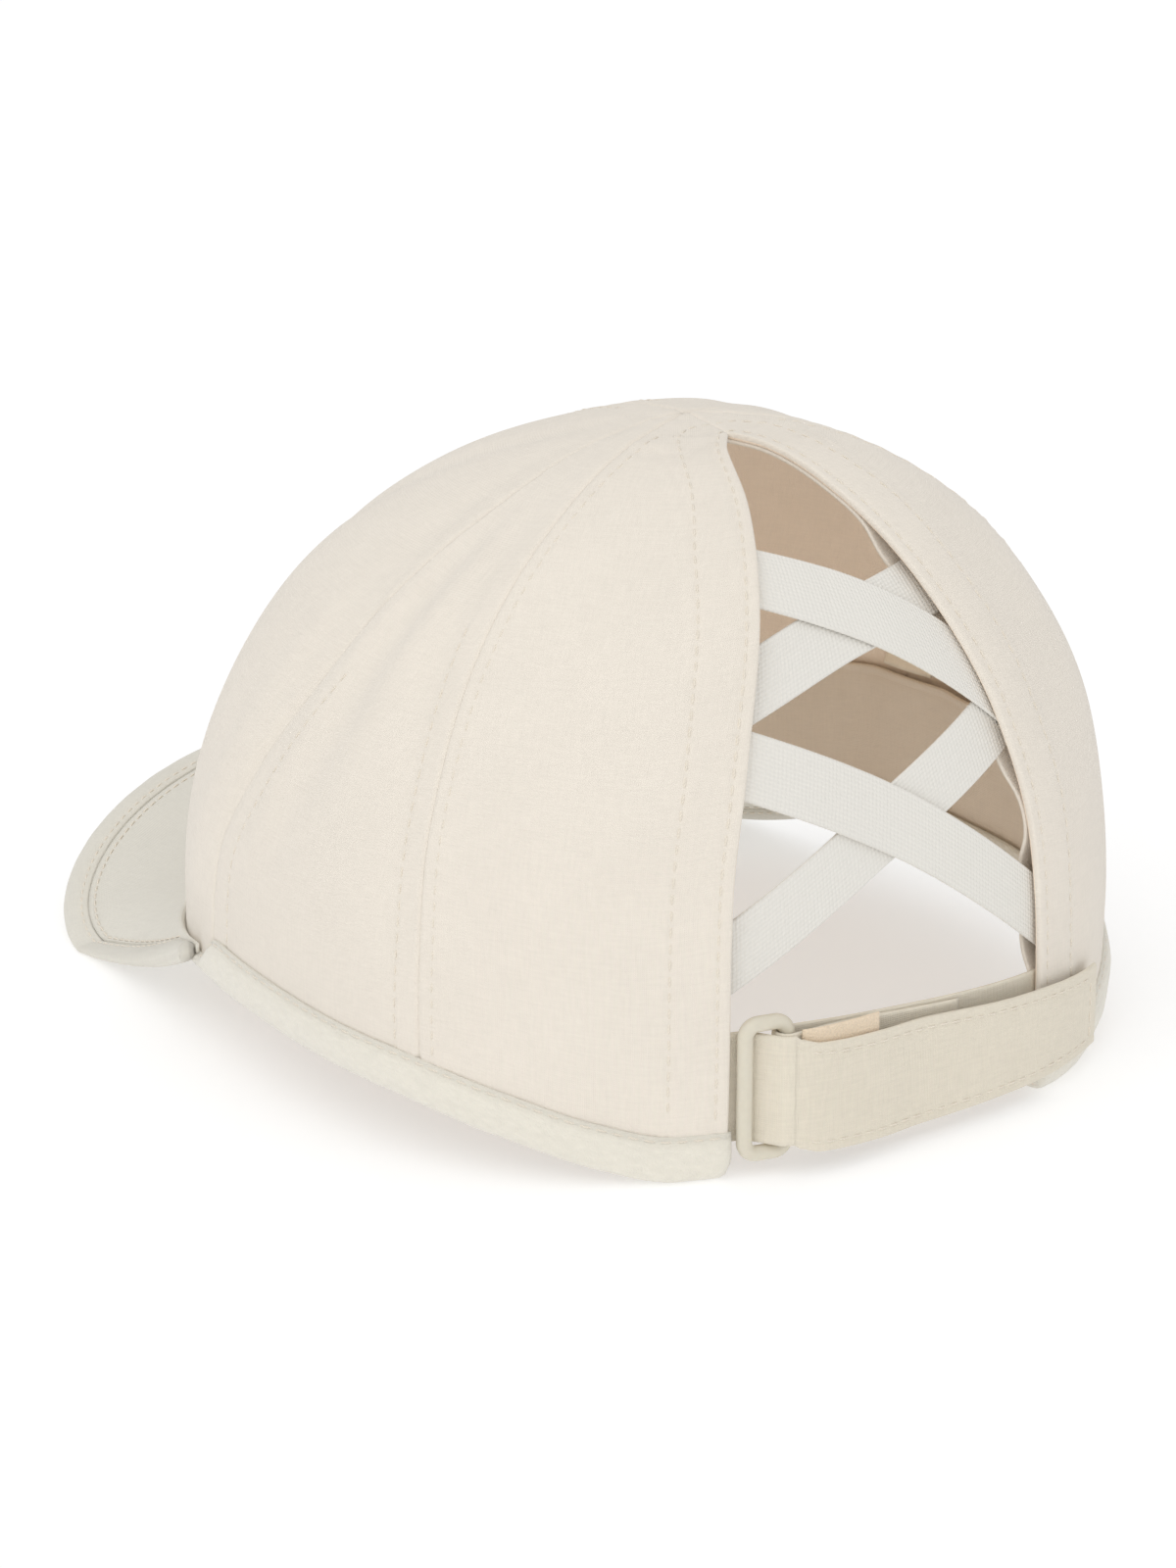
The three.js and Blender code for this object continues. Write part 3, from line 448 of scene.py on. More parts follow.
def closed_sheet(outer, inner):
    """Points and faces of a thin closed body between two grids, with a kind for each face."""
    rows, columns = outer.shape[:2]
    points = np.concatenate([outer.reshape(-1, 3), inner.reshape(-1, 3)])
    a = np.arange(rows * columns).reshape(rows, columns)
    b = a + rows * columns
    groups = [
        quads_of(a[:-1, :-1], a[:-1, 1:], a[1:, 1:], a[1:, :-1]),
        quads_of(b[1:, :-1], b[1:, 1:], b[:-1, 1:], b[:-1, :-1]),
        quads_of(a[1:, 0], b[1:, 0], b[:-1, 0], a[:-1, 0]),
        quads_of(a[:-1, -1], b[:-1, -1], b[1:, -1], a[1:, -1]),
        quads_of(a[0, :-1], b[0, :-1], b[0, 1:], a[0, 1:]),
        quads_of(a[-1, 1:], b[-1, 1:], b[-1, :-1], a[-1, :-1]),
    ]
    kinds = np.concatenate([np.full(len(group), int(i == 1)) for i, group in enumerate(groups)])
    return points, np.concatenate(groups), kinds


def swept(sections, closed=False):
    """Points and faces of a body swept through rings of points. Its ends are closed in strips."""
    count, ring = sections.shape[:2]
    points = sections.reshape(-1, 3)
    at = np.arange(count * ring).reshape(count, ring)
    after = np.roll(at, -1, axis=0)
    if not closed:
        at, after = at[:-1], after[:-1]
    groups = [quads_of(at, np.roll(at, -1, axis=1), np.roll(after, -1, axis=1), after)]
    if not closed:
        first = np.arange(ring // 2 - 1)
        start = quads_of(first, ring - 1 - first, ring - 2 - first, first + 1)
        last = (count - 1) * ring
        groups += [start, last + start[:, ::-1]]
    return points, np.concatenate(groups)
def chart_of(across, along):
    """Places on the cloth in millimetres, which the weave follows."""
    return np.stack(np.broadcast_arrays(across, along, 0.0), -1)


def make_sheet(name, outer, inner, chart, finishes, slot, replaced):
    """A piece between two grids of points. A second finish goes on its inner face."""
    points, faces, kinds = closed_sheet(outer, inner)
    cloth = np.concatenate([chart.reshape(-1, 3)] * 2)
    make_piece(name, points, faces, cloth, finishes, [replaced], kinds if finishes[1:] else None)


def both_faces(angle, up, middle, outward, inward, relief=0.0):
    """Outer and inner face of a layer, each at a distance from the depth of its middle."""
    return lay(angle, up, middle - outward, relief), lay(angle, up, middle + inward, relief)

def spread(near, far, length, step):
    """Distances across a piece: close together at the two edges and evenly between them."""
    inner = length - near[-1] - far[-1]
    count = max(int(inner / step), 2)
    between = near[-1] + inner * np.arange(1, count) / count
    return np.concatenate([near, between, (length - np.array(far))[::-1]])


# Distances from a folded edge, in millimetres, at which the cloth gets a line of points.
EDGE_LINES = (0, 0.08, 0.2, 0.4, 0.7, 1.1, 1.7, 2.5, 3.4, 4.0, 4.35, 4.6, 4.85, 5.2, 5.9)
OPENING_LINES = (
    0, 0.08, 0.2, 0.4, 0.7, 1.1, 1.7, 2.2, 2.6, 3.0, 3.6, 4.6, 6, 7.4, 8.8, 10, 10.6, 11, 11.4, 11.9, 12.3,
    12.8, 13.6,
)
FOLD_RADIUS = 0.7
SEAM_FOLD = 0.35
SEAM_FOLD_HALF = 0.35


def fold_profile(distance, radius=FOLD_RADIUS):
    """Share of the half thickness at a distance from a folded edge."""
    share = np.clip(distance / radius, 0, 1)
    return np.sqrt(np.maximum(1 - (1 - share) ** 2, 0)) * 0.9 + 0.1


PANEL_TOP = up_at_reach(TIP_RADIUS)
PANEL_STEP = 1.0
PANEL_ROWS = 160


def shifted(angle, up, distance):
    return angle + distance / per_degree(angle, up)


def seam_edge(seam, side, shift):
    """Edge of a panel along one seam, half a gap to one side of it."""
    up = np.linspace(0, PANEL_TOP, PANEL_ROWS + 1)
    angle = side * seam_line(seam, up)
    return shifted(angle, up, shift * SEAM_GAP / 2), up


def opening_edge(side):
    """Inner edge of a rear panel: the opening's edge, then the middle seam above it."""
    v = np.linspace(0, 1, PANEL_ROWS + 1)
    place = edge_chart(np.minimum(v / ARCH_SHARE, 1), side)
    least = SEAM_GAP / 2
    place[:, 0] = side * np.maximum(side * place[:, 0], least)
    angle, up = chart_angle(place)
    over = mix(OPENING_TOP, PANEL_TOP, (v - ARCH_SHARE) / (1 - ARCH_SHARE))
    above = v > ARCH_SHARE
    up = np.where(above, over, up)
    seam = shifted(np.zeros(len(up)), up, side * least)
    return np.where(above, seam, angle), up


def panel_grid(near, far, near_lines, far_lines, widest):
    """Angles, places up and distances from both edges for the points of one panel."""
    lines = spread(near_lines, far_lines, widest, PANEL_STEP)
    start = crown_point(*near)
    width = np.linalg.norm(crown_point(*far) - start, axis=-1)
    inside = near_lines[-1] + far_lines[-1]
    squeeze = np.minimum(1, 0.9 * width / inside)[:, None]
    count = len(near_lines)
    rest = len(far_lines)
    left = lines[:count][None, :] * squeeze
    right = width[:, None] - (widest - lines[-rest:])[None, :] * squeeze
    share = (lines[count:-rest] - lines[count - 1]) / (lines[-rest] - lines[count - 1])
    middle = mix(left[:, -1:], right[:, :1], share[None, :])
    distance = np.concatenate([left, middle, right], axis=1)
    share = distance / width[:, None]
    angle = mix(near[0][:, None], far[0][:, None], share)
    up = mix(near[1][:, None], far[1][:, None], share)
    return angle, up, distance, width[:, None] - distance


def seam_profile(distance):
    """Share of the half thickness beside a flat seam, which is only a fine line."""
    return 1 - SEAM_FOLD * bell(distance, SEAM_FOLD_HALF)


def make_panel(name, near, far, near_lines, widest):
    """One cloth panel between two edges. Along the opening its near edge is folded."""
    angle, up, from_near, from_far = panel_grid(near, far, near_lines, EDGE_LINES, widest)
    relief = soft_relief(angle, up)
    sewn = sewn_relief(angle, up)
    low_rows = (np.arange(len(up)) <= ARCH_SHARE * PANEL_ROWS)[:, None]
    open_edge = low_rows & (near_lines is OPENING_LINES)
    near_profile = np.where(open_edge, fold_profile(from_near), seam_profile(from_near))
    profile = np.minimum(near_profile, seam_profile(from_far))
    half = CLOTH_THICKNESS / 2
    outer = lay(angle, up, half - half * profile, relief + sewn * profile)
    inner = lay(angle, up, half + half * profile, relief)
    centre = (near[0] + far[0])[:, None] / 2
    chart = chart_of((angle - centre) * per_degree(angle, up), length_at_up(up))
    # The inner face's finish carries the lining colour's painted light.
    finishes = ["cotton plain weave", "lining cotton with painted light"]
    make_sheet(f"{name}_cloth", outer, inner, chart, finishes, "crown_cloth", name)


# Inside layers of the crown, in millimetres.
LAYER_GAP = 0.3
INNER_DEPTH = 1.5
TAPE_WIDTH = 14.0
TAPE_THICKNESS = 0.8
BAND_HEIGHT = 34.0
BAND_THICKNESS = 1.0
FACING_WIDTH = 12.0
FACING_THICKNESS = 0.9
FACING_DEPTH = 4.3
FACING_START = 0.02
ELASTIC_PASS = 0.085
ELASTIC_PASS_EASE = 0.012
ARCH_NARROWING = 0.35
ARCH_NARROWING_SPAN = 0.25
TAPE_STATIONS = 70
TAPE_FOOT_UP = 0.3
TAPE_FOOT_CLEARANCE = 0.004
FACING_STATIONS = 260
FACING_RUN = 140
BAND_STATIONS = 360


def make_tape(name, seam, side, separation):
    """A flat tape over the inside of one seam. It stops where it would meet the next tape."""
    stop = (TAPE_WIDTH + 2 * LAYER_GAP) / (2 * math.sin(math.radians(separation) / 2))
    top = up_at_reach(stop)
    foot_angle = side * seam_line(seam, np.array([TAPE_FOOT_UP]))
    foot = up_at_height(foot_angle, BAND_HEIGHT + 2 * LAYER_GAP)[0] + TAPE_FOOT_CLEARANCE
    up = (foot + (top - foot) * np.linspace(0, 1, TAPE_STATIONS))[:, None]
    lines = (0, 0.1, 0.3, 0.6)
    across = spread(lines, lines, TAPE_WIDTH, 1.2)[None, :]
    angle = shifted(side * seam_line(seam, up), up, across - TAPE_WIDTH / 2)
    up = np.broadcast_to(up, angle.shape)
    half = TAPE_THICKNESS / 2
    swelled = half * fold_profile(np.minimum(across, TAPE_WIDTH - across), 0.5)
    faces = both_faces(angle, up, INNER_DEPTH + half, swelled, swelled, soft_relief(angle, up))
    chart = chart_of(across, length_at_up(up))
    make_sheet(f"{name}_cloth", *faces, chart, ["bias tape cotton"], "lining_cloth", name)


def facing_places(turn, reach):
    """Angles and places up for the strip along the opening, at a reach from its edge."""
    turn, reach = np.broadcast_arrays(turn, reach)
    side = np.where(turn < 0, 1.0, -1.0)
    along = 1 - (1 - FACING_START) * np.abs(turn)
    ahead = edge_direction(along, side)
    away = np.stack([side * ahead[..., 1], -side * ahead[..., 0]], -1)
    away = np.where(np.abs(turn)[..., None] < 1e-6, np.array([0.0, 1.0]), away)
    near_top = 1 - np.minimum(np.abs(turn) / ARCH_NARROWING_SPAN, 1)
    reach = reach * (1 - ARCH_NARROWING * near_top)
    return chart_angle(edge_chart(along, side) + reach[..., None] * away)


def elastic_room(turn):
    """1 where an elastic passes between the panel and the turned strip, and 0 elsewhere."""
    room = np.zeros(np.shape(turn))
    for row in ELASTICS:
        for along, side in ((row["left"], -1), (row["right"], 1)):
            place = side * (1 - along) / (1 - FACING_START)
            room = np.maximum(room, within(turn - place, ELASTIC_PASS, ELASTIC_PASS_EASE))
    return room


def make_facing():
    """The turned strip inside the opening's edge."""
    turn = np.linspace(-1, 1, FACING_STATIONS + 1)[:, None]
    lines = (0, 0.1, 0.25, 0.5, 0.9)
    reach = LAYER_GAP + spread(lines, lines, FACING_WIDTH - LAYER_GAP, 1.0)[None, :]
    angle, up = facing_places(turn, reach)
    half = FACING_THICKNESS / 2
    swelled = half * fold_profile(np.minimum(reach - LAYER_GAP, FACING_WIDTH - reach), 0.5)
    depth = mix(CLOTH_THICKNESS + 0.05, FACING_DEPTH, elastic_room(turn))
    faces = both_faces(angle, up, depth + half, swelled, swelled, soft_relief(angle, up))
    chart = chart_of(reach, turn * FACING_RUN)
    make_sheet("opening_facing_cloth", *faces, chart, ["cotton plain weave"], "crown_cloth", "opening_facing")


CORNER_ANGLE = float(angle_at_x(OPENING_HALF_WIDTH, LEAST_HEIGHT))
BAND_ANGLE = float(angle_at_x(OPENING_HALF_WIDTH + FACING_WIDTH + LAYER_GAP, LEAST_HEIGHT))


def running_length(points):
    steps = np.linalg.norm(np.diff(points, axis=0), axis=-1)
    return np.concatenate([[0], np.cumsum(steps)])


def make_sweatband():
    """The band inside the lower edge, with its stitched top."""
    angle = np.linspace(BAND_ANGLE, 360 - BAND_ANGLE, BAND_STATIONS + 1)[:, None]
    lines = (0, 0.1, 0.25, 0.5, 0.9, 1.4, 1.8, 2.2, 2.8)
    height = LAYER_GAP + spread(lines, lines, BAND_HEIGHT - LAYER_GAP, 1.6)[None, :]
    up = up_at_height(angle, height)
    angle = np.broadcast_to(angle, up.shape)
    profile = fold_profile(np.minimum(height - LAYER_GAP, BAND_HEIGHT - height), 0.6)
    dip = 0.2 * bell(BAND_HEIGHT - height - 1.8, 0.5)
    half = BAND_THICKNESS / 2
    relief = soft_relief(angle, up)
    faces = both_faces(angle, up, INNER_DEPTH + half, half * profile, (half - dip) * profile, relief)
    run = running_length(crown_point(angle[:, 0], 0.1))[:, None]
    chart = chart_of(run, height)
    make_sheet("sweatband_cloth", *faces, chart, ["sweatband cotton"], "lining_cloth", "sweatband")


# Towelling band round the lower edge. Its section is the depth and the height of its outer face,
# from the top of its outer leg round the edge to the top of its inner leg, and the same for the face
# behind, in millimetres.
HEM_SECTION = {
    "depth": (-0.12, -0.5, -0.75, -0.7, -0.95, -1.35, -1.7, -1.85, -1.8, -1.6, -1.15, -0.3, 0.9, 2.2, 3.2,
              3.8, 4.0, 4.0, 4.0, 3.95, 3.75, 3.3),
    "height": (8.1, 8.0, 7.7, 7.2, 6.9, 6.4, 5.4, 4.2, 2.8, 1.4, 0.1, -0.9, -1.3, -1.25, -0.8,
               0.2, 1.3, 2.4, 3.6, 4.9, 5.7, 6.0),
    "back": (*(-0.06,) * 11, 0.2, 0.9, 1.9, 2.6, *(3.0,) * 6, 3.1),
    "behind": (8.0, 7.9, 7.6, 7.2, 6.9, 6.4, 5.4, 4.2, 2.8, 1.4, 0.3, -0.2, -0.3, -0.3, -0.1,
               0.4, 1.3, 2.4, 3.6, 4.9, 5.6, 5.8),
}
HEM_STITCH_HEIGHT = 7.25
HEM_STITCH_DEPTH = -0.72
HEM_STATIONS = 460
HEM_END_RADIUS = 2.6
HEM_END_SHARE = 0.35
HEM_END_HEIGHT = 3
HEM_LUMPS = 0.09
HEM_LUMPS_BELOW = 6.5
HEM_PAST_CORNER = 0.3
HEM_LOWERED = 0.3
HEM_LOWERED_FROM = 106.5
HEM_LOWERED_EASE = 0.7


def hem_stand(angle):
    """Share of the outer leg's height: it stays under the peak where the peak is sewn on."""
    lowered = 1 / (1 + np.exp((HEM_LOWERED_FROM - folded(angle)) / HEM_LOWERED_EASE))
    return mix(1, HEM_LOWERED, lowered)


def hem_surface(angle, depth, height):
    """Points of the band, at a depth inside the crown's face and a height above its lower edge."""
    up = up_at_height(angle, np.maximum(height, LEAST_HEIGHT))
    points = lay(angle, up, depth, soft_relief(angle, up))
    points[..., 2] = np.maximum(rim_height(angle) + height, 0.0)
    return points


def make_hem():
    """The towelling band that wraps the crown's lower edge."""
    start = CORNER_ANGLE - HEM_PAST_CORNER
    angle = np.linspace(start, 360 - start, HEM_STATIONS + 1)
    run = running_length(crown_point(angle, 0.0))
    from_end = np.minimum(run, run[-1] - run)
    angle, run, from_end = angle[:, None], run[:, None], from_end[:, None]
    line = {key: np.array(values, float)[None, :] for key, values in HEM_SECTION.items()}
    outside = line["depth"] < 0
    end_share = np.clip(from_end / HEM_END_RADIUS, 0, 1)
    round_end = 1 - np.sqrt(np.maximum(1 - (1 - end_share) ** 2, 0))
    thin = mix(1, HEM_END_SHARE, round_end)
    lifted = HEM_END_RADIUS * round_end * np.clip((HEM_END_HEIGHT - line["height"]) / HEM_END_HEIGHT, 0, 1)
    stand = np.where((line["height"] > 0) & outside, hem_stand(angle), 1.0)
    stand_behind = np.where((line["behind"] > 0) & outside, hem_stand(angle), 1.0)
    lumps = np.sin(run / 1.7 + 2 * np.sin(run / 11)) * np.sin(run / 6.1 + line["height"] / 1.5)
    lumps = HEM_LUMPS * lumps * outside * (line["height"] < HEM_LUMPS_BELOW)
    depth = np.where(outside, mix(-0.1, line["depth"], thin), mix(3.0, line["depth"], thin))
    outer = hem_surface(angle, depth - lumps, line["height"] * stand + lifted)
    behind = line["behind"] * stand_behind + lifted
    inner = hem_surface(angle, np.broadcast_to(line["back"], behind.shape), behind)
    points, faces = swept(np.concatenate([outer, inner[:, ::-1]], axis=1))
    around = np.arange(line["depth"].shape[1]) * 1.0
    chart = chart_of(run, np.concatenate([around, around[::-1]])[None, :])
    make_piece("hem_towelling", points, faces, chart.reshape(-1, 3), ["cotton towelling"],
               ["hem_binding"])


# The elastics across the opening, in millimetres. Left and right are the places of their ends along
# the opening's edge, and bow is how far the middle is pulled up.
ELASTIC_WIDTH = 12.5
ELASTIC_THICKNESS = 0.9
ELASTIC_TUCK = 9.0
ELASTIC_SAG = 0.4
ELASTIC_RIBS = 16
RIB_HEIGHT = 0.1
SHOULDER_GAP = 0.6
ELASTICS = (
    {"name": "elastic_upper_over", "left": 0.74, "right": 0.555, "layer": 0, "bow": 2.6},
    {"name": "elastic_upper_under", "left": 0.6, "right": 0.69, "layer": 1, "bow": 0.6},
    {"name": "elastic_lower_over", "left": 0.5, "right": 0.235, "layer": 0, "bow": 1.8},
    {"name": "elastic_lower_under", "left": 0.265, "right": 0.49, "layer": 1, "bow": -1.6},
)


def elastic_sink(place):
    """Depth that an elastic sags between the opening's edges, where nothing is behind it."""
    up = up_at_length(place[..., 1]) * OPENING["up"][-1] / OPENING_TOP
    half = OPENING_HALF_WIDTH * read(OPENING, "up", "half", up, False)
    share = np.where(half > 0, place[..., 0] / np.maximum(half, 1e-6), 1)
    return ELASTIC_SAG * np.maximum(0, 1 - share ** 2)


def make_elastic(name, left, right, layer, bow):
    """One flat elastic across the opening, with its ribs along its length."""
    anchors = [edge_chart(np.array(left), 1.0), edge_chart(np.array(right), -1.0)]
    edges = [edge_direction(np.array(left), 1.0), edge_direction(np.array(right), -1.0)]
    way = unit(anchors[1] - anchors[0])
    across = np.array([-way[1], way[0]])
    offset = np.linspace(-0.5, 0.5, ELASTIC_RIBS * 5 + 1)[None, :] * ELASTIC_WIDTH
    share = np.linspace(0, 1, 101)[:, None]
    ends = []
    for anchor, edge, tuck in zip(anchors, edges, (-ELASTIC_TUCK, ELASTIC_TUCK)):
        slant = (edge @ way) / (edge @ across)
        ends.append(anchor + offset[..., None] * across + (offset * slant + tuck)[..., None] * way)
    upward = across if across[1] > 0 else -across
    place = mix(ends[0], ends[1], share[..., None]) + bow * np.sin(np.pi * share)[..., None] * upward
    angle, up = chart_angle(place)
    top = CLOTH_THICKNESS + SHOULDER_GAP + layer * (ELASTIC_THICKNESS + LAYER_GAP) + elastic_sink(place)
    profile = fold_profile(ELASTIC_WIDTH / 2 - np.abs(offset), 0.45)
    ribs = RIB_HEIGHT * np.abs(np.sin(np.pi * ELASTIC_RIBS * (offset / ELASTIC_WIDTH + 0.5)))
    half = ELASTIC_THICKNESS / 2
    ribbed = (half - RIB_HEIGHT + ribs) * profile
    length = np.linalg.norm(ends[1] - ends[0], axis=-1).mean()
    faces = both_faces(angle, up, top + half, ribbed, ribbed)
    make_sheet(f"{name}_knit", *faces, chart_of(share * length, offset), ["knitted elastic"], "elastic", name)


# Strap, ring and patch at the lower edge of the opening, in millimetres. The strap passes outside
# the towelling band.
HEM_WALL = 1.0
STRAP_WIDTH = 21.6
STRAP_THICKNESS = 1.2
STRAP_TUCK = 10.0
STRAP_OVERLAP = 18.5
STRAP_BULGE = 0.4
STRAP_LEVEL = 14.0
ANCHOR_THICKNESS = 1.0
ANCHOR_RETURN = 40.0
ANCHOR_DROP = 0.17
RETURN_DROP_SHARE = 0.7
RING_WIRE = 3.0
RING_BAR_SPACING = 8.4
RING_TO_EDGE = 2.9
RING_BASE_HEIGHT = 2.9
RING_CORNER = 2.5
RING_CLEARANCE = 0.5
PATCH_LENGTH = 17.0
PATCH_THICKNESS = 0.8
PATCH_HEIGHT = 18.0
PATCH_RISE = 0.7
PATCH_TO_BAR = 1.6
STRAP = {
    "at": (0, 0.06, 0.22, 0.38, 0.58, 0.75, 1),
    "width": (1, 1, 1, 0.98, 0.91, 0.86, 0.77),
    "middle": (0.77, 0.71, 0.68, 0.67, 0.645, 0.625, 0.605),
    "bulge": (1, 1.15, 0.75, 0.1, 0, 0, 0),
}

PLAN_ANGLES = np.arange(-75.0, 76.0)
PLAN_UPS = up_at_height(PLAN_ANGLES, STRAP_LEVEL)
PLAN_POINTS = crown_point(PLAN_ANGLES, PLAN_UPS)[:, :2]
PLAN_NORMALS = unit(crown_normal(PLAN_ANGLES, PLAN_UPS)[:, :2])
PLAN_LENGTHS = running_length(PLAN_POINTS)
PLAN_LENGTHS = PLAN_LENGTHS - PLAN_LENGTHS[len(PLAN_LENGTHS) // 2]


def plan_at(length, depth):
    """Plan point a length from the middle plane and a depth inside the crown's outer face."""
    length, depth = np.broadcast_arrays(np.asarray(length, float), np.asarray(depth, float))
    point = np.stack([np.interp(length, PLAN_LENGTHS, PLAN_POINTS[:, i]) for i in (0, 1)], -1)
    normal = unit(np.stack([np.interp(length, PLAN_LENGTHS, PLAN_NORMALS[:, i]) for i in (0, 1)], -1))
    return point - depth[..., None] * normal


EDGE_LENGTH = float(np.interp(OPENING_HALF_WIDTH, PLAN_POINTS[:, 0], PLAN_LENGTHS))
RING_WINDOW = STRAP_WIDTH + 2 * RING_CLEARANCE
RING_MIDDLE = RING_BASE_HEIGHT + RING_WIRE + RING_WINDOW / 2
LEFT_BAR = EDGE_LENGTH - RING_TO_EDGE
RIGHT_BAR = LEFT_BAR - RING_BAR_SPACING
BAR_DEPTH = INNER_DEPTH - LAYER_GAP - RING_WIRE / 2
STRAP_BEHIND_BAR = RING_WIRE / 2 + LAYER_GAP + STRAP_THICKNESS / 2
ANCHOR_ROUND = RING_WIRE / 2 + LAYER_GAP + ANCHOR_THICKNESS / 2
STRAP_OVER_BAR = ANCHOR_ROUND + ANCHOR_THICKNESS / 2 + LAYER_GAP + STRAP_THICKNESS / 2
STRAP_OUTSIDE = -(2 * LAYER_GAP + HEM_WALL + STRAP_THICKNESS / 2)
STRAP_END = -(EDGE_LENGTH + STRAP_OVERLAP)
STAND_OFF = STRAP_OVER_BAR - BAR_DEPTH + STRAP_OUTSIDE + STRAP_BULGE


def outer_strap(at):
    """Places of the strap's outer layer, at shares of its length from the right bar to its end."""
    width = STRAP_WIDTH * read(STRAP, "at", "width", at)
    middle = STRAP_WIDTH * read(STRAP, "at", "middle", at)
    depth = STRAP_OUTSIDE - STAND_OFF * read(STRAP, "at", "bulge", at)
    return np.stack([mix(RIGHT_BAR, STRAP_END, at), depth, middle - width / 2, middle + width / 2], -1)


def round_bar(bar, radius, start, stop, steps):
    turn = np.radians(np.linspace(start, stop, steps + 1))
    return np.stack([bar + radius * np.cos(turn), BAR_DEPTH + radius * np.sin(turn)], -1)


def ribbon_grids(places, thickness, lines, step, bump=None):
    """Outer and inner grid of an upright ribbon. Each place has a length, a depth, a low and a high."""
    plan = plan_at(places[:, 0], places[:, 1])
    way = unit(np.gradient(plan, axis=0))
    normal = np.stack([-way[:, 1], way[:, 0]], -1)
    widest = (places[:, 3] - places[:, 2]).max()
    share = (spread(lines, lines, widest, step) / widest)[None, :]
    low, high = places[:, 2:3], places[:, 3:4]
    z = mix(low, high, share)
    run = running_length(plan)
    edge = np.minimum(share, 1 - share) * (high - low)
    ends = np.minimum(run, run[-1] - run)[:, None]
    profile = fold_profile(edge, 0.55) * fold_profile(ends, 0.55)
    raised = 0 if bump is None else bump(run[:, None], edge, run[-1] - run[:, None]) * profile
    grids = []
    for sign in (1, -1):
        offset = sign * (thickness / 2 * profile + raised)
        xy = plan[:, None, :] + offset[..., None] * normal[:, None, :]
        grids.append(np.concatenate([xy, z[..., None]], -1))
    return grids, chart_of(run[:, None], z)


STRAP_LINES = (0, 0.08, 0.2, 0.4, 0.8, 1.3, 1.7, 2.0, 2.3, 2.7, 3.3)


STRAP_STITCH = 2.0
STRAP_END_STITCH = 3.0


def stitched_edge(run, edge, from_end):
    """Relief of a strap: a dip along the stitch row by each edge and across its free end."""
    across_end = np.abs(from_end - STRAP_END_STITCH) + 10 * (edge < STRAP_STITCH)
    row = np.minimum(np.abs(edge - STRAP_STITCH), across_end)
    return -0.13 * bell(row, 0.4) + 0.03 * np.sin(run / 2.1)


def threaded_strap():
    """The strap's whole path: from inside the left panel, through the ring and over its outer bar."""
    slope = math.degrees(math.asin((STRAP_BEHIND_BAR + STRAP_OVER_BAR) / RING_BAR_SPACING))
    low, high = RING_MIDDLE - STRAP_WIDTH / 2, RING_MIDDLE + STRAP_WIDTH / 2
    inside = INNER_DEPTH + STRAP_THICKNESS / 2
    start = np.stack(np.broadcast_arrays(EDGE_LENGTH + np.linspace(STRAP_TUCK, LAYER_GAP, 12), inside), -1)
    turns = [
        start,
        round_bar(LEFT_BAR, STRAP_BEHIND_BAR, 90, 180 - slope, 9),
        round_bar(RIGHT_BAR, STRAP_OVER_BAR, -slope, -90, 12),
    ]
    threaded = np.concatenate(turns)
    heights = np.broadcast_to([low, high], (len(threaded), 2))
    at = np.concatenate([np.linspace(0.01, 0.985, 90), np.array([0.992, 0.996, 0.999, 1.0])])
    return np.concatenate([np.concatenate([threaded, heights], -1), outer_strap(at)])


def make_strap():
    """The cloth strap that goes through the ring and lies over the right panel."""
    faces, chart = ribbon_grids(threaded_strap(), STRAP_THICKNESS, STRAP_LINES, 0.9, stitched_edge)
    names = ["cotton strap weave"]
    make_sheet("closure_strap_cloth", *faces, chart, names, "strap_cloth", "closure_strap")


def make_anchor():
    """The narrow strap that ties the ring to the right panel."""
    inside = INNER_DEPTH + ANCHOR_THICKNESS / 2
    doubled = inside - ANCHOR_THICKNESS - LAYER_GAP
    low, high = RING_MIDDLE - STRAP_WIDTH / 2, RING_MIDDLE + STRAP_WIDTH / 2
    lower = STRAP_WIDTH * ANCHOR_DROP
    start = -EDGE_LENGTH - STRAP_TUCK
    length = np.linspace(start, RIGHT_BAR / 2, 40)
    drop = lower * (1 - (length - start) / (RIGHT_BAR - start))
    first = np.stack([length, np.full(40, inside), low - drop, high - drop], -1)
    turn = round_bar(RIGHT_BAR, ANCHOR_ROUND, 110, -110, 22)
    loop = np.concatenate([turn, np.broadcast_to([low, high], (len(turn), 2))], -1)
    share = np.linspace(0.03, 1, 36)
    depth = mix(doubled, BAR_DEPTH - ANCHOR_ROUND, np.maximum(0, 1 - share * 2) ** 2)
    drop = lower * share * RETURN_DROP_SHARE
    back = np.stack([RIGHT_BAR - ANCHOR_RETURN * share, depth, low - drop, high - drop], -1)
    places = np.concatenate([first, loop, back])
    faces, chart = ribbon_grids(places, ANCHOR_THICKNESS, STRAP_LINES, 1.4)
    names = ["cotton strap weave"]
    make_sheet("anchor_strap_cloth", *faces, chart, names, "strap_cloth", "anchor_strap")


def make_patch():
    """The loop pile of the fastener, against the inside of the strap."""
    high = RING_MIDDLE + STRAP_WIDTH / 2 + PATCH_RISE
    length = RIGHT_BAR - PATCH_TO_BAR - PATCH_LENGTH * np.linspace(0, 1, 61)
    depth = outer_strap((RIGHT_BAR - length) / (RIGHT_BAR - STRAP_END))[:, 1]
    depth = depth + STRAP_THICKNESS / 2 + LAYER_GAP + PATCH_THICKNESS / 2
    places = np.stack(np.broadcast_arrays(length, depth, high - PATCH_HEIGHT, high), -1)
    faces, chart = ribbon_grids(places, PATCH_THICKNESS, (0, 0.1, 0.25, 0.5), 0.5)
    make_sheet("loop_patch_pile", *faces, chart, ["loop pile"], "loop_fastener", "loop_patch")


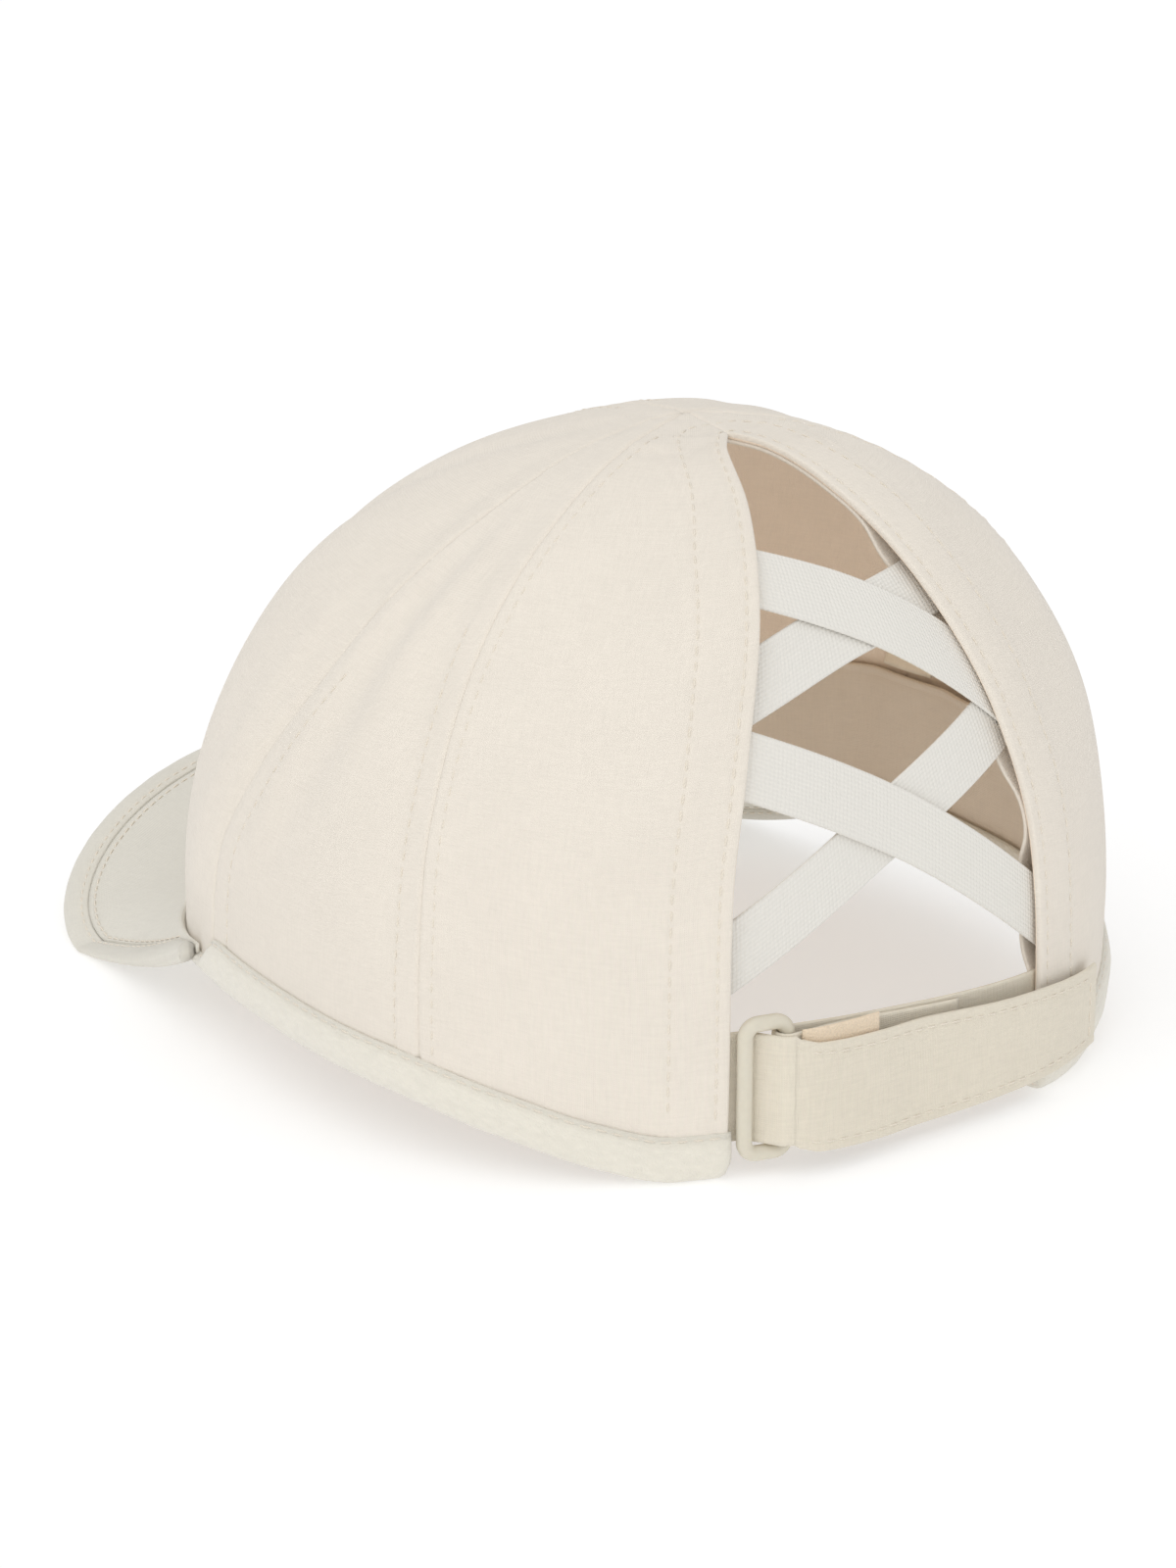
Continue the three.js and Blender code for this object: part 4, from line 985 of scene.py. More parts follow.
def make_ring():
    """The moulded ring: two upright bars joined by round corners."""
    half_wide = RING_BAR_SPACING / 2
    half_tall = (RING_WINDOW + RING_WIRE) / 2
    corner_steps = 14
    bar_steps = 16
    path = []
    for x, y, start in ((1, 1, 0), (-1, 1, 90), (-1, -1, 180), (1, -1, 270)):
        for step in range(corner_steps + 1):
            turn = math.radians(start + 90 * step / corner_steps)
            way = np.array([math.cos(turn), math.sin(turn)])
            pivot = np.array([x * (half_wide - RING_CORNER), y * (half_tall - RING_CORNER)])
            path.append((pivot + RING_CORNER * way, way))
        if x == y:
            continue
        last, way = path[-1]
        target = np.array([last[0], -last[1]])
        for step in range(1, bar_steps):
            path.append((mix(last, target, step / bar_steps), way))
    middle = plan_at((LEFT_BAR + RIGHT_BAR) / 2, BAR_DEPTH)
    tangent = unit(plan_at(LEFT_BAR, BAR_DEPTH) - plan_at(RIGHT_BAR, BAR_DEPTH))
    wide = np.array([tangent[0], tangent[1], 0.0])
    tall = np.array([0.0, 0.0, 1.0])
    out = np.cross(wide, tall)
    origin = np.array([middle[0], middle[1], RING_MIDDLE])
    turn = np.radians(np.arange(0, 360, 20))
    radius = RING_WIRE / 2
    sections = []
    for centre, way in path:
        base = origin + wide * centre[0] + tall * centre[1]
        outwards = wide * way[0] + tall * way[1]
        sections.append(base + radius * (np.cos(turn)[:, None] * outwards + np.sin(turn)[:, None] * out))
    points, faces = swept(np.array(sections), closed=True)
    make_piece("slide_ring_moulding", points, faces, points, ["moulded nylon"],
               ["slide_ring"])


# Peak, in millimetres.
PEAK_LENGTH = 62.0
PEAK_HALF_WIDTH = 82.0
PEAK_TIP_HEIGHT = 19.0
PEAK_THICKNESS = 2.4
PEAK_PLAN_POWER = 1.8
PEAK_ARCH_POWER = 0.8
PEAK_FLANK_SHARE = 0.72
PEAK_WIDEST_SHARE = 1.04
PEAK_CORNER_ANGLE = 109.0
PEAK_CORNER_REACH = 4.5
PEAK_SIDE_HEIGHT = -0.2
PEAK_ROOT_HEIGHT = 3.0
PEAK_CORNER_RISE = 0.5
PEAK_CORNER_EASE = 5
PEAK_BEND_RISE = 4.5
RIM_WIDTH = 7.0
RIM_THICKNESS = 4.2
RIM_FLANK_EXTRA = 2.4
RIM_FLANK_TURN = 0.8
PEAK_TURN = 0.99
LEAST_BOARD_SHARE = 0.25
CORNER_LEVELLING = 10
RIM_SECTION = {
    "share": (0, 0.06, 0.2, 0.4, 0.6, 0.8, 0.93, 1),
    "lift": (0.55, 0.7, 0.9, 1, 0.99, 0.86, 0.62, 0.25),
}

PEAK_ROOT_DEPTH = -0.5
RIM_FLANK_HALF = 0.16
RIM_STITCH = 1.3
BOARD_STITCH = 2.0
PEAK_DIP = 0.12
PEAK_WAVE = 0.25
PEAK_WAVE_FROM_EDGE = 8
PEAK_EDGE_DROP = 0.25
PEAK_STATIONS = 240
RIM_STATIONS = 300
RIM_ACROSS = 22
RIM_LUMPS = 0.05
CROWN_FRONT_Y = float(crown_point(180, 0)[1])
PEAK_FRONT_Y = CROWN_FRONT_Y - PEAK_LENGTH
PEAK_WIDEST_Y = CROWN_FRONT_Y * PEAK_WIDEST_SHARE


def peak_height(x):
    share = np.minimum(np.abs(x) / PEAK_HALF_WIDTH, 1)
    return PEAK_SIDE_HEIGHT + (PEAK_TIP_HEIGHT - PEAK_SIDE_HEIGHT) * (1 - share ** 2) ** PEAK_ARCH_POWER


def peak_edge(turn):
    """Outline of the peak: a bend forward from each corner, then a round front."""
    s = np.minimum(np.abs(turn), 1)
    side = np.where(turn < 0, -1.0, 1.0)
    phi = np.minimum(s / PEAK_FLANK_SHARE, 1) * np.pi / 2
    x = side * PEAK_HALF_WIDTH * np.sin(phi) ** (2 / PEAK_PLAN_POWER)
    y = mix(PEAK_WIDEST_Y, PEAK_FRONT_Y, np.maximum(np.cos(phi), 0) ** (2 / PEAK_PLAN_POWER))
    front = np.stack([x, y, peak_height(x)], -1)
    corner = lay(side * PEAK_CORNER_ANGLE, np.zeros(np.shape(side)), -PEAK_CORNER_REACH)
    corner_height = rim_height(PEAK_CORNER_ANGLE) + PEAK_ROOT_HEIGHT + PEAK_CORNER_RISE
    end = np.stack(np.broadcast_arrays(corner[..., 0], corner[..., 1], corner_height), -1)
    start = np.stack(np.broadcast_arrays(side * PEAK_HALF_WIDTH, PEAK_WIDEST_Y, PEAK_SIDE_HEIGHT), -1)
    middle_y = mix(PEAK_WIDEST_Y, end[..., 1], 0.5)
    bend_height = PEAK_SIDE_HEIGHT + PEAK_BEND_RISE
    bend = np.stack(np.broadcast_arrays(side * PEAK_HALF_WIDTH, middle_y, bend_height), -1)
    t = np.clip((s - PEAK_FLANK_SHARE) / (1 - PEAK_FLANK_SHARE), 0, 1)[..., None]
    curve = (1 - t) ** 2 * start + 2 * t * (1 - t) * bend + t ** 2 * end
    return np.where((s <= PEAK_FLANK_SHARE)[..., None], front, curve)


def peak_root(turn):
    """Line where the peak meets the crown, inside the top of the towelling band."""
    angle = 180 - turn * (180 - PEAK_CORNER_ANGLE)
    foot = lay(angle, np.zeros(np.shape(angle)), PEAK_ROOT_DEPTH)
    foot[..., 2] = rim_height(angle) + PEAK_ROOT_HEIGHT + PEAK_CORNER_RISE * np.abs(turn) ** PEAK_CORNER_EASE
    return foot


def peak_point(turn, reach):
    turn, reach = np.broadcast_arrays(turn, reach)
    return mix(peak_root(turn), peak_edge(turn), reach[..., None])


def peak_normal(turn, reach):
    step = 0.002
    turn, reach = np.broadcast_arrays(turn, reach)
    across = peak_point(np.minimum(turn + step, 1), reach) - peak_point(np.maximum(turn - step, -1), reach)
    ahead = np.minimum(reach + 2 * step, 1)
    forward = peak_point(turn, ahead) - peak_point(turn, np.maximum(reach - 2 * step, 0))
    normal = unit(np.cross(across, forward))
    normal = np.where(normal[..., 2:] < 0, -normal, normal)
    level = (np.abs(turn) ** CORNER_LEVELLING)[..., None]
    return unit(mix(normal, np.array([0.0, 0.0, 1.0]), level))


def peak_span(turn):
    return np.linalg.norm(peak_edge(turn) - peak_root(turn), axis=-1)


def rim_start(turn):
    """Share of the way to the outline where the padded rim begins. It is wider on the flanks."""
    width = RIM_WIDTH + RIM_FLANK_EXTRA * bell(np.abs(turn) - RIM_FLANK_TURN, RIM_FLANK_HALF)
    return np.maximum(1 - width / peak_span(turn), LEAST_BOARD_SHARE)


def board_share(turn):
    """Share of the way to the outline where the flat cloth of the peak ends."""
    gap = 0.02 + 0.5 * np.abs(turn) ** CORNER_LEVELLING
    return rim_start(turn) - gap / peak_span(turn)


def make_peak():
    """The peak's cloth over its stiff board."""
    turn = np.linspace(-PEAK_TURN, PEAK_TURN, PEAK_STATIONS + 1)[:, None]
    stop = board_share(turn)
    lines = (0, 0.1, 0.25, 0.5, 0.9, 1.5, 2.1, 2.5, 3.0, 3.8)
    widest = float((stop * peak_span(turn)).max())
    share = (spread(lines, lines, widest, 1.1) / widest)[None, :]
    reach = share * stop
    middle = peak_point(turn, reach)
    normal = peak_normal(turn, reach)
    from_rim = (1 - share) * stop * peak_span(turn)
    edge = np.minimum(share * stop * peak_span(turn), from_rim)
    profile = 1 - PEAK_EDGE_DROP * bell(edge, 0.5)
    wave = PEAK_WAVE * ripples(middle) * np.clip(edge / PEAK_WAVE_FROM_EDGE, 0, 1)
    dip = PEAK_DIP * bell(from_rim - BOARD_STITCH, 0.5)
    swelled = (PEAK_THICKNESS / 2 - dip) * profile
    outer = middle + (swelled + wave)[..., None] * normal
    inner = middle - (swelled - wave)[..., None] * normal
    chart = chart_of(middle[..., 0], middle[..., 1])
    make_sheet("peak_cloth", outer, inner, chart, ["peak cotton weave with painted shade"], "crown_cloth", "peak")


def make_peak_rim():
    """The padded rim round the peak's outline."""
    turn = np.linspace(-PEAK_TURN, PEAK_TURN, RIM_STATIONS + 1)[:, None]
    spots = np.sin(np.linspace(0, 1, RIM_ACROSS + 1)[None, :] * np.pi / 2)
    lift = read(RIM_SECTION, "share", "lift", spots, False)
    far = peak_point(turn, 1.0)
    normal = peak_normal(turn, 1.0)
    base = mix(peak_point(turn, rim_start(turn)), far, spots[..., None])
    run = running_length(far[:, 0])[:, None]
    dip = PEAK_DIP * bell(spots * RIM_WIDTH - RIM_STITCH, 0.45)
    lumps = RIM_LUMPS * np.sin(run / 1.7) * np.sin(run / 9)
    sides = []
    for sign in (1, -1):
        height = lift * RIM_THICKNESS / 2 + (lumps - dip if sign > 0 else -dip)
        points = base + sign * np.broadcast_to(height, base.shape[:2])[..., None] * normal
        points[..., 2] = np.maximum(points[..., 2], LEAST_HEIGHT)
        sides.append(points)
    points, faces = swept(np.concatenate([sides[0], sides[1][:, ::-1]], axis=1))
    around = np.concatenate([spots[0], 2 - spots[0, ::-1]]) * RIM_WIDTH
    chart = chart_of(run, around[None, :])
    make_piece("peak_rim_cloth", points, faces, chart.reshape(-1, 3), ["peak cotton weave with painted shade"],
               ["peak_binding"])


# One stitch: places along it, how far the thread stands off the cloth there in millimetres, and its
# thickness as a share.
STITCH_SPOTS = np.array([0.0, 0.14, 0.5, 0.86, 1.0])
STITCH_LIFTS = np.array([-0.25, 0.02, 0.1, 0.02, -0.25])
STITCH_GIRTHS = np.array([0.55, 0.95, 1.0, 0.95, 0.55])
THREAD_TURNS = np.radians(np.arange(0, 360, 60))


def stitches_along(path, normals, phase, length, gap, thread):
    """Rings of points for a row of stitches along a path that lies on the cloth."""
    run = running_length(path)
    pitch = length + gap
    count = int((run[-1] - phase) / pitch)
    start = phase + pitch * np.arange(count)[:, None]
    places = start + length * STITCH_SPOTS
    spot = np.stack([np.interp(places, run, path[:, i]) for i in range(3)], -1)
    normal = unit(np.stack([np.interp(places, run, normals[:, i]) for i in range(3)], -1))
    side = unit(np.cross(unit(np.gradient(spot, axis=1)), normal))
    centre = spot + STITCH_LIFTS[None, :, None] * normal
    radius = (thread * STITCH_GIRTHS)[None, :, None, None]
    wide = np.cos(THREAD_TURNS)[None, None, :, None] * side[:, :, None, :]
    tall = np.sin(THREAD_TURNS)[None, None, :, None] * normal[:, :, None, :]
    return centre[:, :, None, :] + radius * (wide + tall)


def make_stitches(name, runs, slot, length, gap, thread):
    """One piece from all the stitches of some rows. Each row is a path, its normals and its start."""
    rings = np.concatenate([stitches_along(*run, length, gap, thread) for run in runs])
    count, spots, sides = rings.shape[:3]
    one = np.arange(spots * sides).reshape(spots, sides)
    wall = quads_of(one[:-1], np.roll(one[:-1], -1, 1), np.roll(one[1:], -1, 1), one[1:])
    first = np.array([[0, 3, 2, 1], [0, 5, 4, 3]])
    last = first[:, ::-1] + (spots - 1) * sides
    faces = np.concatenate([wall, first, last])
    faces = (faces[None] + (np.arange(count) * spots * sides)[:, None, None]).reshape(-1, 4)
    along = np.broadcast_to(STITCH_SPOTS[None, :, None] * length, rings.shape[:3])
    cloth = chart_of(along, np.arange(sides) * 0.2)
    make_piece(name, rings.reshape(-1, 3), faces, cloth.reshape(-1, 3), ["sewing thread"])


def crown_row(angle, up):
    """Path and normals of a stitch row on the crown's outer face."""
    relief = soft_relief(angle, up) + sewn_relief(angle, up)
    return lay(angle, up, np.zeros(np.shape(up)), relief), crown_normal(angle, up)


def crown_stitch_runs():
    runs = []
    for side in (1, -1):
        for i, row in enumerate(STITCH_ROWS):
            up = np.linspace(row["low"], row["high"], 500)
            angle = side * seam_line(row["seam"], up)
            angle = shifted(angle, up, side * row["offset"])
            runs.append((*crown_row(angle, up), 0.7 * i))
    return runs


def opening_stitch_runs():
    """Two rows beside the opening: one by its edge and one along the turned strip."""
    runs = []
    turn = np.linspace(-0.96, 0.96, 900)
    for reach in (FACING_STITCH, EDGE_STITCH):
        angle, up = facing_places(turn, np.full(turn.shape, reach))
        runs.append((*crown_row(angle, up), 0.3 * reach))
    return runs


def hem_stitch_runs():
    """The row that holds the towelling band to the crown."""
    angle = np.linspace(CORNER_ANGLE + 0.8, 359.2 - CORNER_ANGLE, 1200)
    height = HEM_STITCH_HEIGHT * hem_stand(angle)
    path = hem_surface(angle, np.full(angle.shape, HEM_STITCH_DEPTH), height)
    return [(path, crown_normal(angle, up_at_height(angle, height)), 0.4)]


def peak_stitch_runs():
    """Two rows where the padded rim meets the peak, on its upper and lower face."""
    turn = np.linspace(-0.93, 0.93, 1400)
    share = RIM_STITCH / RIM_WIDTH
    lift = float(read(RIM_SECTION, "share", "lift", share, False)) * RIM_THICKNESS / 2 - PEAK_DIP
    rim_normal = peak_normal(turn, 1.0)
    rim_path = mix(peak_point(turn, rim_start(turn)), peak_edge(turn), share)
    board_normal = peak_normal(turn, board_share(turn))
    board_path = peak_point(turn, board_share(turn) - BOARD_STITCH / peak_span(turn))
    runs = []
    for sign in (1, -1):
        runs.append((rim_path + sign * lift * rim_normal, sign * rim_normal, 0.2))
        height = sign * (PEAK_THICKNESS / 2 + 0.02)
        runs.append((board_path + height * board_normal, sign * board_normal, 1.1))
    return runs


def strap_stitch_runs():
    """Rows along both edges of the strap's outer layer and across its free end."""
    at = np.linspace(0.03, 1 - STRAP_END_STITCH / (RIGHT_BAR - STRAP_END), 500)
    places = outer_strap(at)
    plan = plan_at(places[:, 0], places[:, 1])
    way = unit(np.gradient(plan, axis=0))
    out = np.stack([-way[:, 1], way[:, 0]], -1)
    out = out * np.sign((out * plan).sum(axis=-1, keepdims=True))
    face = plan + out * (STRAP_THICKNESS / 2 - 0.1)
    normal = np.concatenate([out, np.zeros((len(out), 1))], -1)
    runs = []
    low, high = places[:, 2] + STRAP_STITCH, places[:, 3] - STRAP_STITCH
    for z in (low, high):
        runs.append((np.concatenate([face, z[:, None]], -1), normal, 0.5))
    z = np.linspace(low[-1], high[-1], 80)
    path = np.stack(np.broadcast_arrays(face[-1, 0], face[-1, 1], z), -1)
    runs.append((path, np.broadcast_to(normal[-1], path.shape), 0.2))
    return runs


def linear(colour):
    """An sRGB hex colour such as #EDE4D3 as linear red, green, blue and a full alpha."""
    parts = [int(colour[i:i + 2], 16) / 255 for i in (1, 3, 5)]
    return tuple(c / 12.92 if c <= 0.04045 else ((c + 0.055) / 1.055) ** 2.4 for c in parts) + (1.0,)


def add_node(tree, kind, settings=None, links=None):
    """Add a node. Settings are its properties by name or its input values by socket."""
    node = tree.nodes.new(kind)
    for key, value in (settings or {}).items():
        if isinstance(key, str) and key not in node.inputs:
            setattr(node, key, value)
        else:
            node.inputs[key].default_value = value
    for key, socket in (links or {}).items():
        tree.links.new(socket, node.inputs[key])
    return node


# Where a pattern takes its coordinates: the place on the cloth in millimetres, or on the object.
CLOTH_PLACE = ("ShaderNodeAttribute", "Vector", {"attribute_name": "cloth"})
OBJECT_PLACE = ("ShaderNodeTexCoord", "Object", None)
RANGE = ("From Min", "From Max", "To Min", "To Max")

# Thick yarns in the woven cloths: their width in threads and their length in millimetres. Broad
# patches of slightly uneven colour: their size in millimetres and their shade as a share.
SLUB_WIDTH = 1.5
SLUB_LENGTH = 1 / 0.22
PATCHES = 20.0
PATCHES_SHADE = 0.012


def new_finish(name, kind, socket, settings):
    """An empty material, with the coordinates for its patterns."""
    material = bpy.data.materials.new(name)
    material.use_nodes = True
    tree = material.node_tree
    tree.nodes.clear()
    return tree, add_node(tree, kind, settings).outputs[socket]


def surface(tree, colour, shade, height, bump, shine, strength=1.0):
    """The end of every material: its colour times a shade, its relief in metres and its shine."""
    relief = add_node(tree, "ShaderNodeBump", {"Strength": strength, "Distance": bump}, {"Height": height})
    links = {"Normal": relief.outputs[0]}
    if shade is None:
        shine = {"Base Color": colour, **shine}
    else:
        settings = {"operation": "SCALE", 0: colour[:3]}
        links["Base Color"] = add_node(tree, "ShaderNodeVectorMath", settings, {"Scale": shade}).outputs[0]
    shader = add_node(tree, "ShaderNodeBsdfPrincipled", shine, links)
    add_node(tree, "ShaderNodeOutputMaterial", links={"Surface": shader.outputs[0]})


def cloth_finish(name, colour, thread, slub, bump):
    """Woven cotton: matt, with a fine grain and a soft edge of light. Thread is the spacing of its
    threads in millimetres, slub the share of uneven thick and thin yarns that shows as faint streaks,
    and bump its relief in millimetres. Real threads are about 0.25 mm apart, which is too fine to show,
    so they are drawn as coarse as the sizes in CapSizes."""
    tree, place = new_finish(name, *CLOTH_PLACE)
    parts = add_node(tree, "ShaderNodeSeparateXYZ", links={0: place})
    sines = []
    for axis in (0, 1):
        turns = add_node(tree, "ShaderNodeMath", {"operation": "MULTIPLY", 1: 2 * math.pi / (2 * thread)},
                         {0: parts.outputs[axis]})
        sines.append(add_node(tree, "ShaderNodeMath", {"operation": "SINE"}, {0: turns.outputs[0]}))
    crossing = add_node(tree, "ShaderNodeMath", {"operation": "MULTIPLY"},
                        {0: sines[0].outputs[0], 1: sines[1].outputs[0]})
    over = add_node(tree, "ShaderNodeMath", {"operation": "ABSOLUTE"}, {0: crossing.outputs[0]})
    thin = 1.0 / (SLUB_WIDTH * thread)
    long = 1.0 / SLUB_LENGTH
    streaks = []
    for stretch in ((long, thin, 1.0), (thin, long, 1.0)):
        pulled = add_node(tree, "ShaderNodeVectorMath", {"operation": "MULTIPLY", 1: stretch}, {0: place})
        streaks.append(add_node(tree, "ShaderNodeTexNoise", {"Scale": 1.0, "Detail": 1.0, "Roughness": 0.5},
                                {"Vector": pulled.outputs[0]}))
    both = add_node(tree, "ShaderNodeMath", {"operation": "ADD"},
                    {0: streaks[0].outputs["Fac"], 1: streaks[1].outputs["Fac"]})
    patchy = add_node(tree, "ShaderNodeTexNoise", {"Scale": 1.0 / PATCHES, "Detail": 2.0}, {"Vector": place})
    uneven = add_node(tree, "ShaderNodeMapRange", dict(zip(RANGE, (0.7, 1.3, -slub, slub))),
                      {"Value": both.outputs[0]})
    broad = add_node(tree, "ShaderNodeMapRange", dict(zip(RANGE, (0.3, 0.7, -PATCHES_SHADE, PATCHES_SHADE))),
                     {"Value": patchy.outputs["Fac"]})
    shade = add_node(tree, "ShaderNodeMath", {"operation": "ADD"},
                     {0: uneven.outputs[0], 1: broad.outputs[0]})
    factor = add_node(tree, "ShaderNodeMath", {"operation": "ADD", 1: 1.0}, {0: shade.outputs[0]})
    height = add_node(tree, "ShaderNodeMath", {"operation": "MULTIPLY_ADD", 1: 0.9},
                      {0: both.outputs[0], 2: over.outputs[0]})
    shine = {"Roughness": 0.9, "IOR": 1.5, "Specular IOR Level": 0.25, "Sheen Weight": 0.25,
             "Sheen Roughness": 0.5}
    surface(tree, colour, factor.outputs[0], height.outputs[0], bump * 0.001, shine)


def towelling_finish(name, colour):
    """Cotton towelling. Loops about 1 mm wide in slanting rows give a soft, grainy, matt surface."""
    tree, place = new_finish(name, *CLOTH_PLACE)
    turned = add_node(tree, "ShaderNodeMapping",
                      {"Rotation": (0, 0, math.radians(40)), "Scale": (0.55, 1.35, 1)}, {"Vector": place})
    loops = add_node(tree, "ShaderNodeTexVoronoi", {"Scale": 1.0, "Randomness": 0.8, "feature": "SMOOTH_F1"},
                     {"Vector": turned.outputs[0]})
    fuzz = add_node(tree, "ShaderNodeTexNoise", {"Scale": 3.0, "Detail": 2.0}, {"Vector": place})
    height = add_node(tree, "ShaderNodeMath", {"operation": "MULTIPLY_ADD", 1: -1.0},
                      {0: loops.outputs["Distance"], 2: fuzz.outputs["Fac"]})
    # Painted shade: each loop is drawn darker towards its edge, where the relief dips between the loops.
    shade = add_node(tree, "ShaderNodeMapRange", dict(zip(RANGE, (0.0, 0.9, 1.02, 0.93))),
                     {"Value": loops.outputs["Distance"]})
    shine = {"Roughness": 0.95, "IOR": 1.5, "Specular IOR Level": 0.15, "Sheen Weight": 0.5,
             "Sheen Roughness": 0.6}
    surface(tree, colour, shade.outputs[0], height.outputs[0], 0.00022, shine)


def elastic_finish(name, colour):
    """Knitted polyester elastic. Fine stitches cross the ribs, with a slight silky shine."""
    tree, place = new_finish(name, *CLOTH_PLACE)
    bands = {"wave_type": "BANDS", "bands_direction": "X", "Scale": 0.35, "Distortion": 1.2, "Detail": 1.0}
    waves = add_node(tree, "ShaderNodeTexWave", bands, {"Vector": place})
    parts = add_node(tree, "ShaderNodeSeparateXYZ", links={0: place})
    turns = add_node(tree, "ShaderNodeMath",
                     {"operation": "MULTIPLY", 1: 2 * math.pi * ELASTIC_RIBS / ELASTIC_WIDTH},
                     {0: parts.outputs[1]})
    cosine = add_node(tree, "ShaderNodeMath", {"operation": "COSINE"}, {0: turns.outputs[0]})
    shade = add_node(tree, "ShaderNodeMapRange", dict(zip(RANGE, (-1.0, 1.0, 0.965, 1.01))),
                     {"Value": cosine.outputs[0]})
    shine = {"Roughness": 0.65, "IOR": 1.55, "Specular IOR Level": 0.35, "Sheen Weight": 0.2}
    surface(tree, colour, shade.outputs[0], waves.outputs["Fac"], 0.00007, shine)


def patterned_finish(name, colour, place, pattern, settings, shades, bump, shine, strength=1.0):
    """A surface with one pattern, which gives its relief and, when shades are given, darkens it where the
    relief is low: painted shade in the pattern's hollows.
    """
    tree, where = new_finish(name, *place)
    made = add_node(tree, pattern, settings, {"Vector": where}).outputs["Fac"]
    shade = None
    if shades:
        shade = add_node(tree, "ShaderNodeMapRange", dict(zip(RANGE, shades)), {"Value": made}).outputs[0]
    surface(tree, colour, shade, made, bump, shine, strength)


def colour_property(name, description, colour):
    return bpy.props.FloatVectorProperty(
        name=name, description=description, subtype="COLOR", size=4, min=0, max=1, default=linear(colour))


def length_property(name, description, default):
    return bpy.props.FloatProperty(
        name=name, description=description, unit="LENGTH", precision=5, min=0.00005, default=default)


class CapColours(bpy.types.PropertyGroup):
    """Colours of the cap's materials"""
    cloth: colour_property("Crown cloth", "Cotton of the six panels", "#EEE6DA")
    # Painted shade: the peak is the crown's cotton, drawn darker and greyer than the crown cloth for the
    # peak's lower light.
    peak: colour_property("Peak cloth", "Cotton of the peak", "#E3DFD4")
    # Painted light: the inner face is drawn lighter and warmer than the crown cloth, standing in for light
    # that shines through the thin cotton and bounces warm inside the crown.
    lining: colour_property("Lining", "Inner face of the panels", "#FCEBD8")
    tape: colour_property("Seam tape", "Tapes over the seams", "#F7E9D2")
    band: colour_property("Sweatband", "Band inside the lower edge", "#E9DBC9")
    towelling: colour_property("Towelling", "Band round the lower edge", "#EDE8DB")
    elastic: colour_property("Elastic", "Straps across the opening", "#EBE8E1")
    strap: colour_property("Strap", "Closing strap", "#E7DFCE")
    pile: colour_property("Loop pile", "Fastener inside the strap", "#F3DFC4")
    nylon: colour_property("Ring", "Moulded ring", "#DCD6C6")
    thread: colour_property("Thread", "Sewing thread", "#F0E7D8")
    floor: colour_property("Floor", "Paper under the cap", "#D2D2D2")


class CapSizes(bpy.types.PropertyGroup):
    """Sizes of the cap's threads and stitches"""
    weave: length_property("Weave", "Spacing of the crown's threads", 0.0004)
    strap_weave: length_property("Strap weave", "Spacing of the strap's threads", 0.0004)
    stitch: length_property("Stitch", "Length of a stitch", 0.0023)
    stitch_gap: length_property("Stitch gap", "Gap between two stitches", 0.00075)
    thread: length_property("Thread", "Half the thickness of the sewing thread", 0.00019)


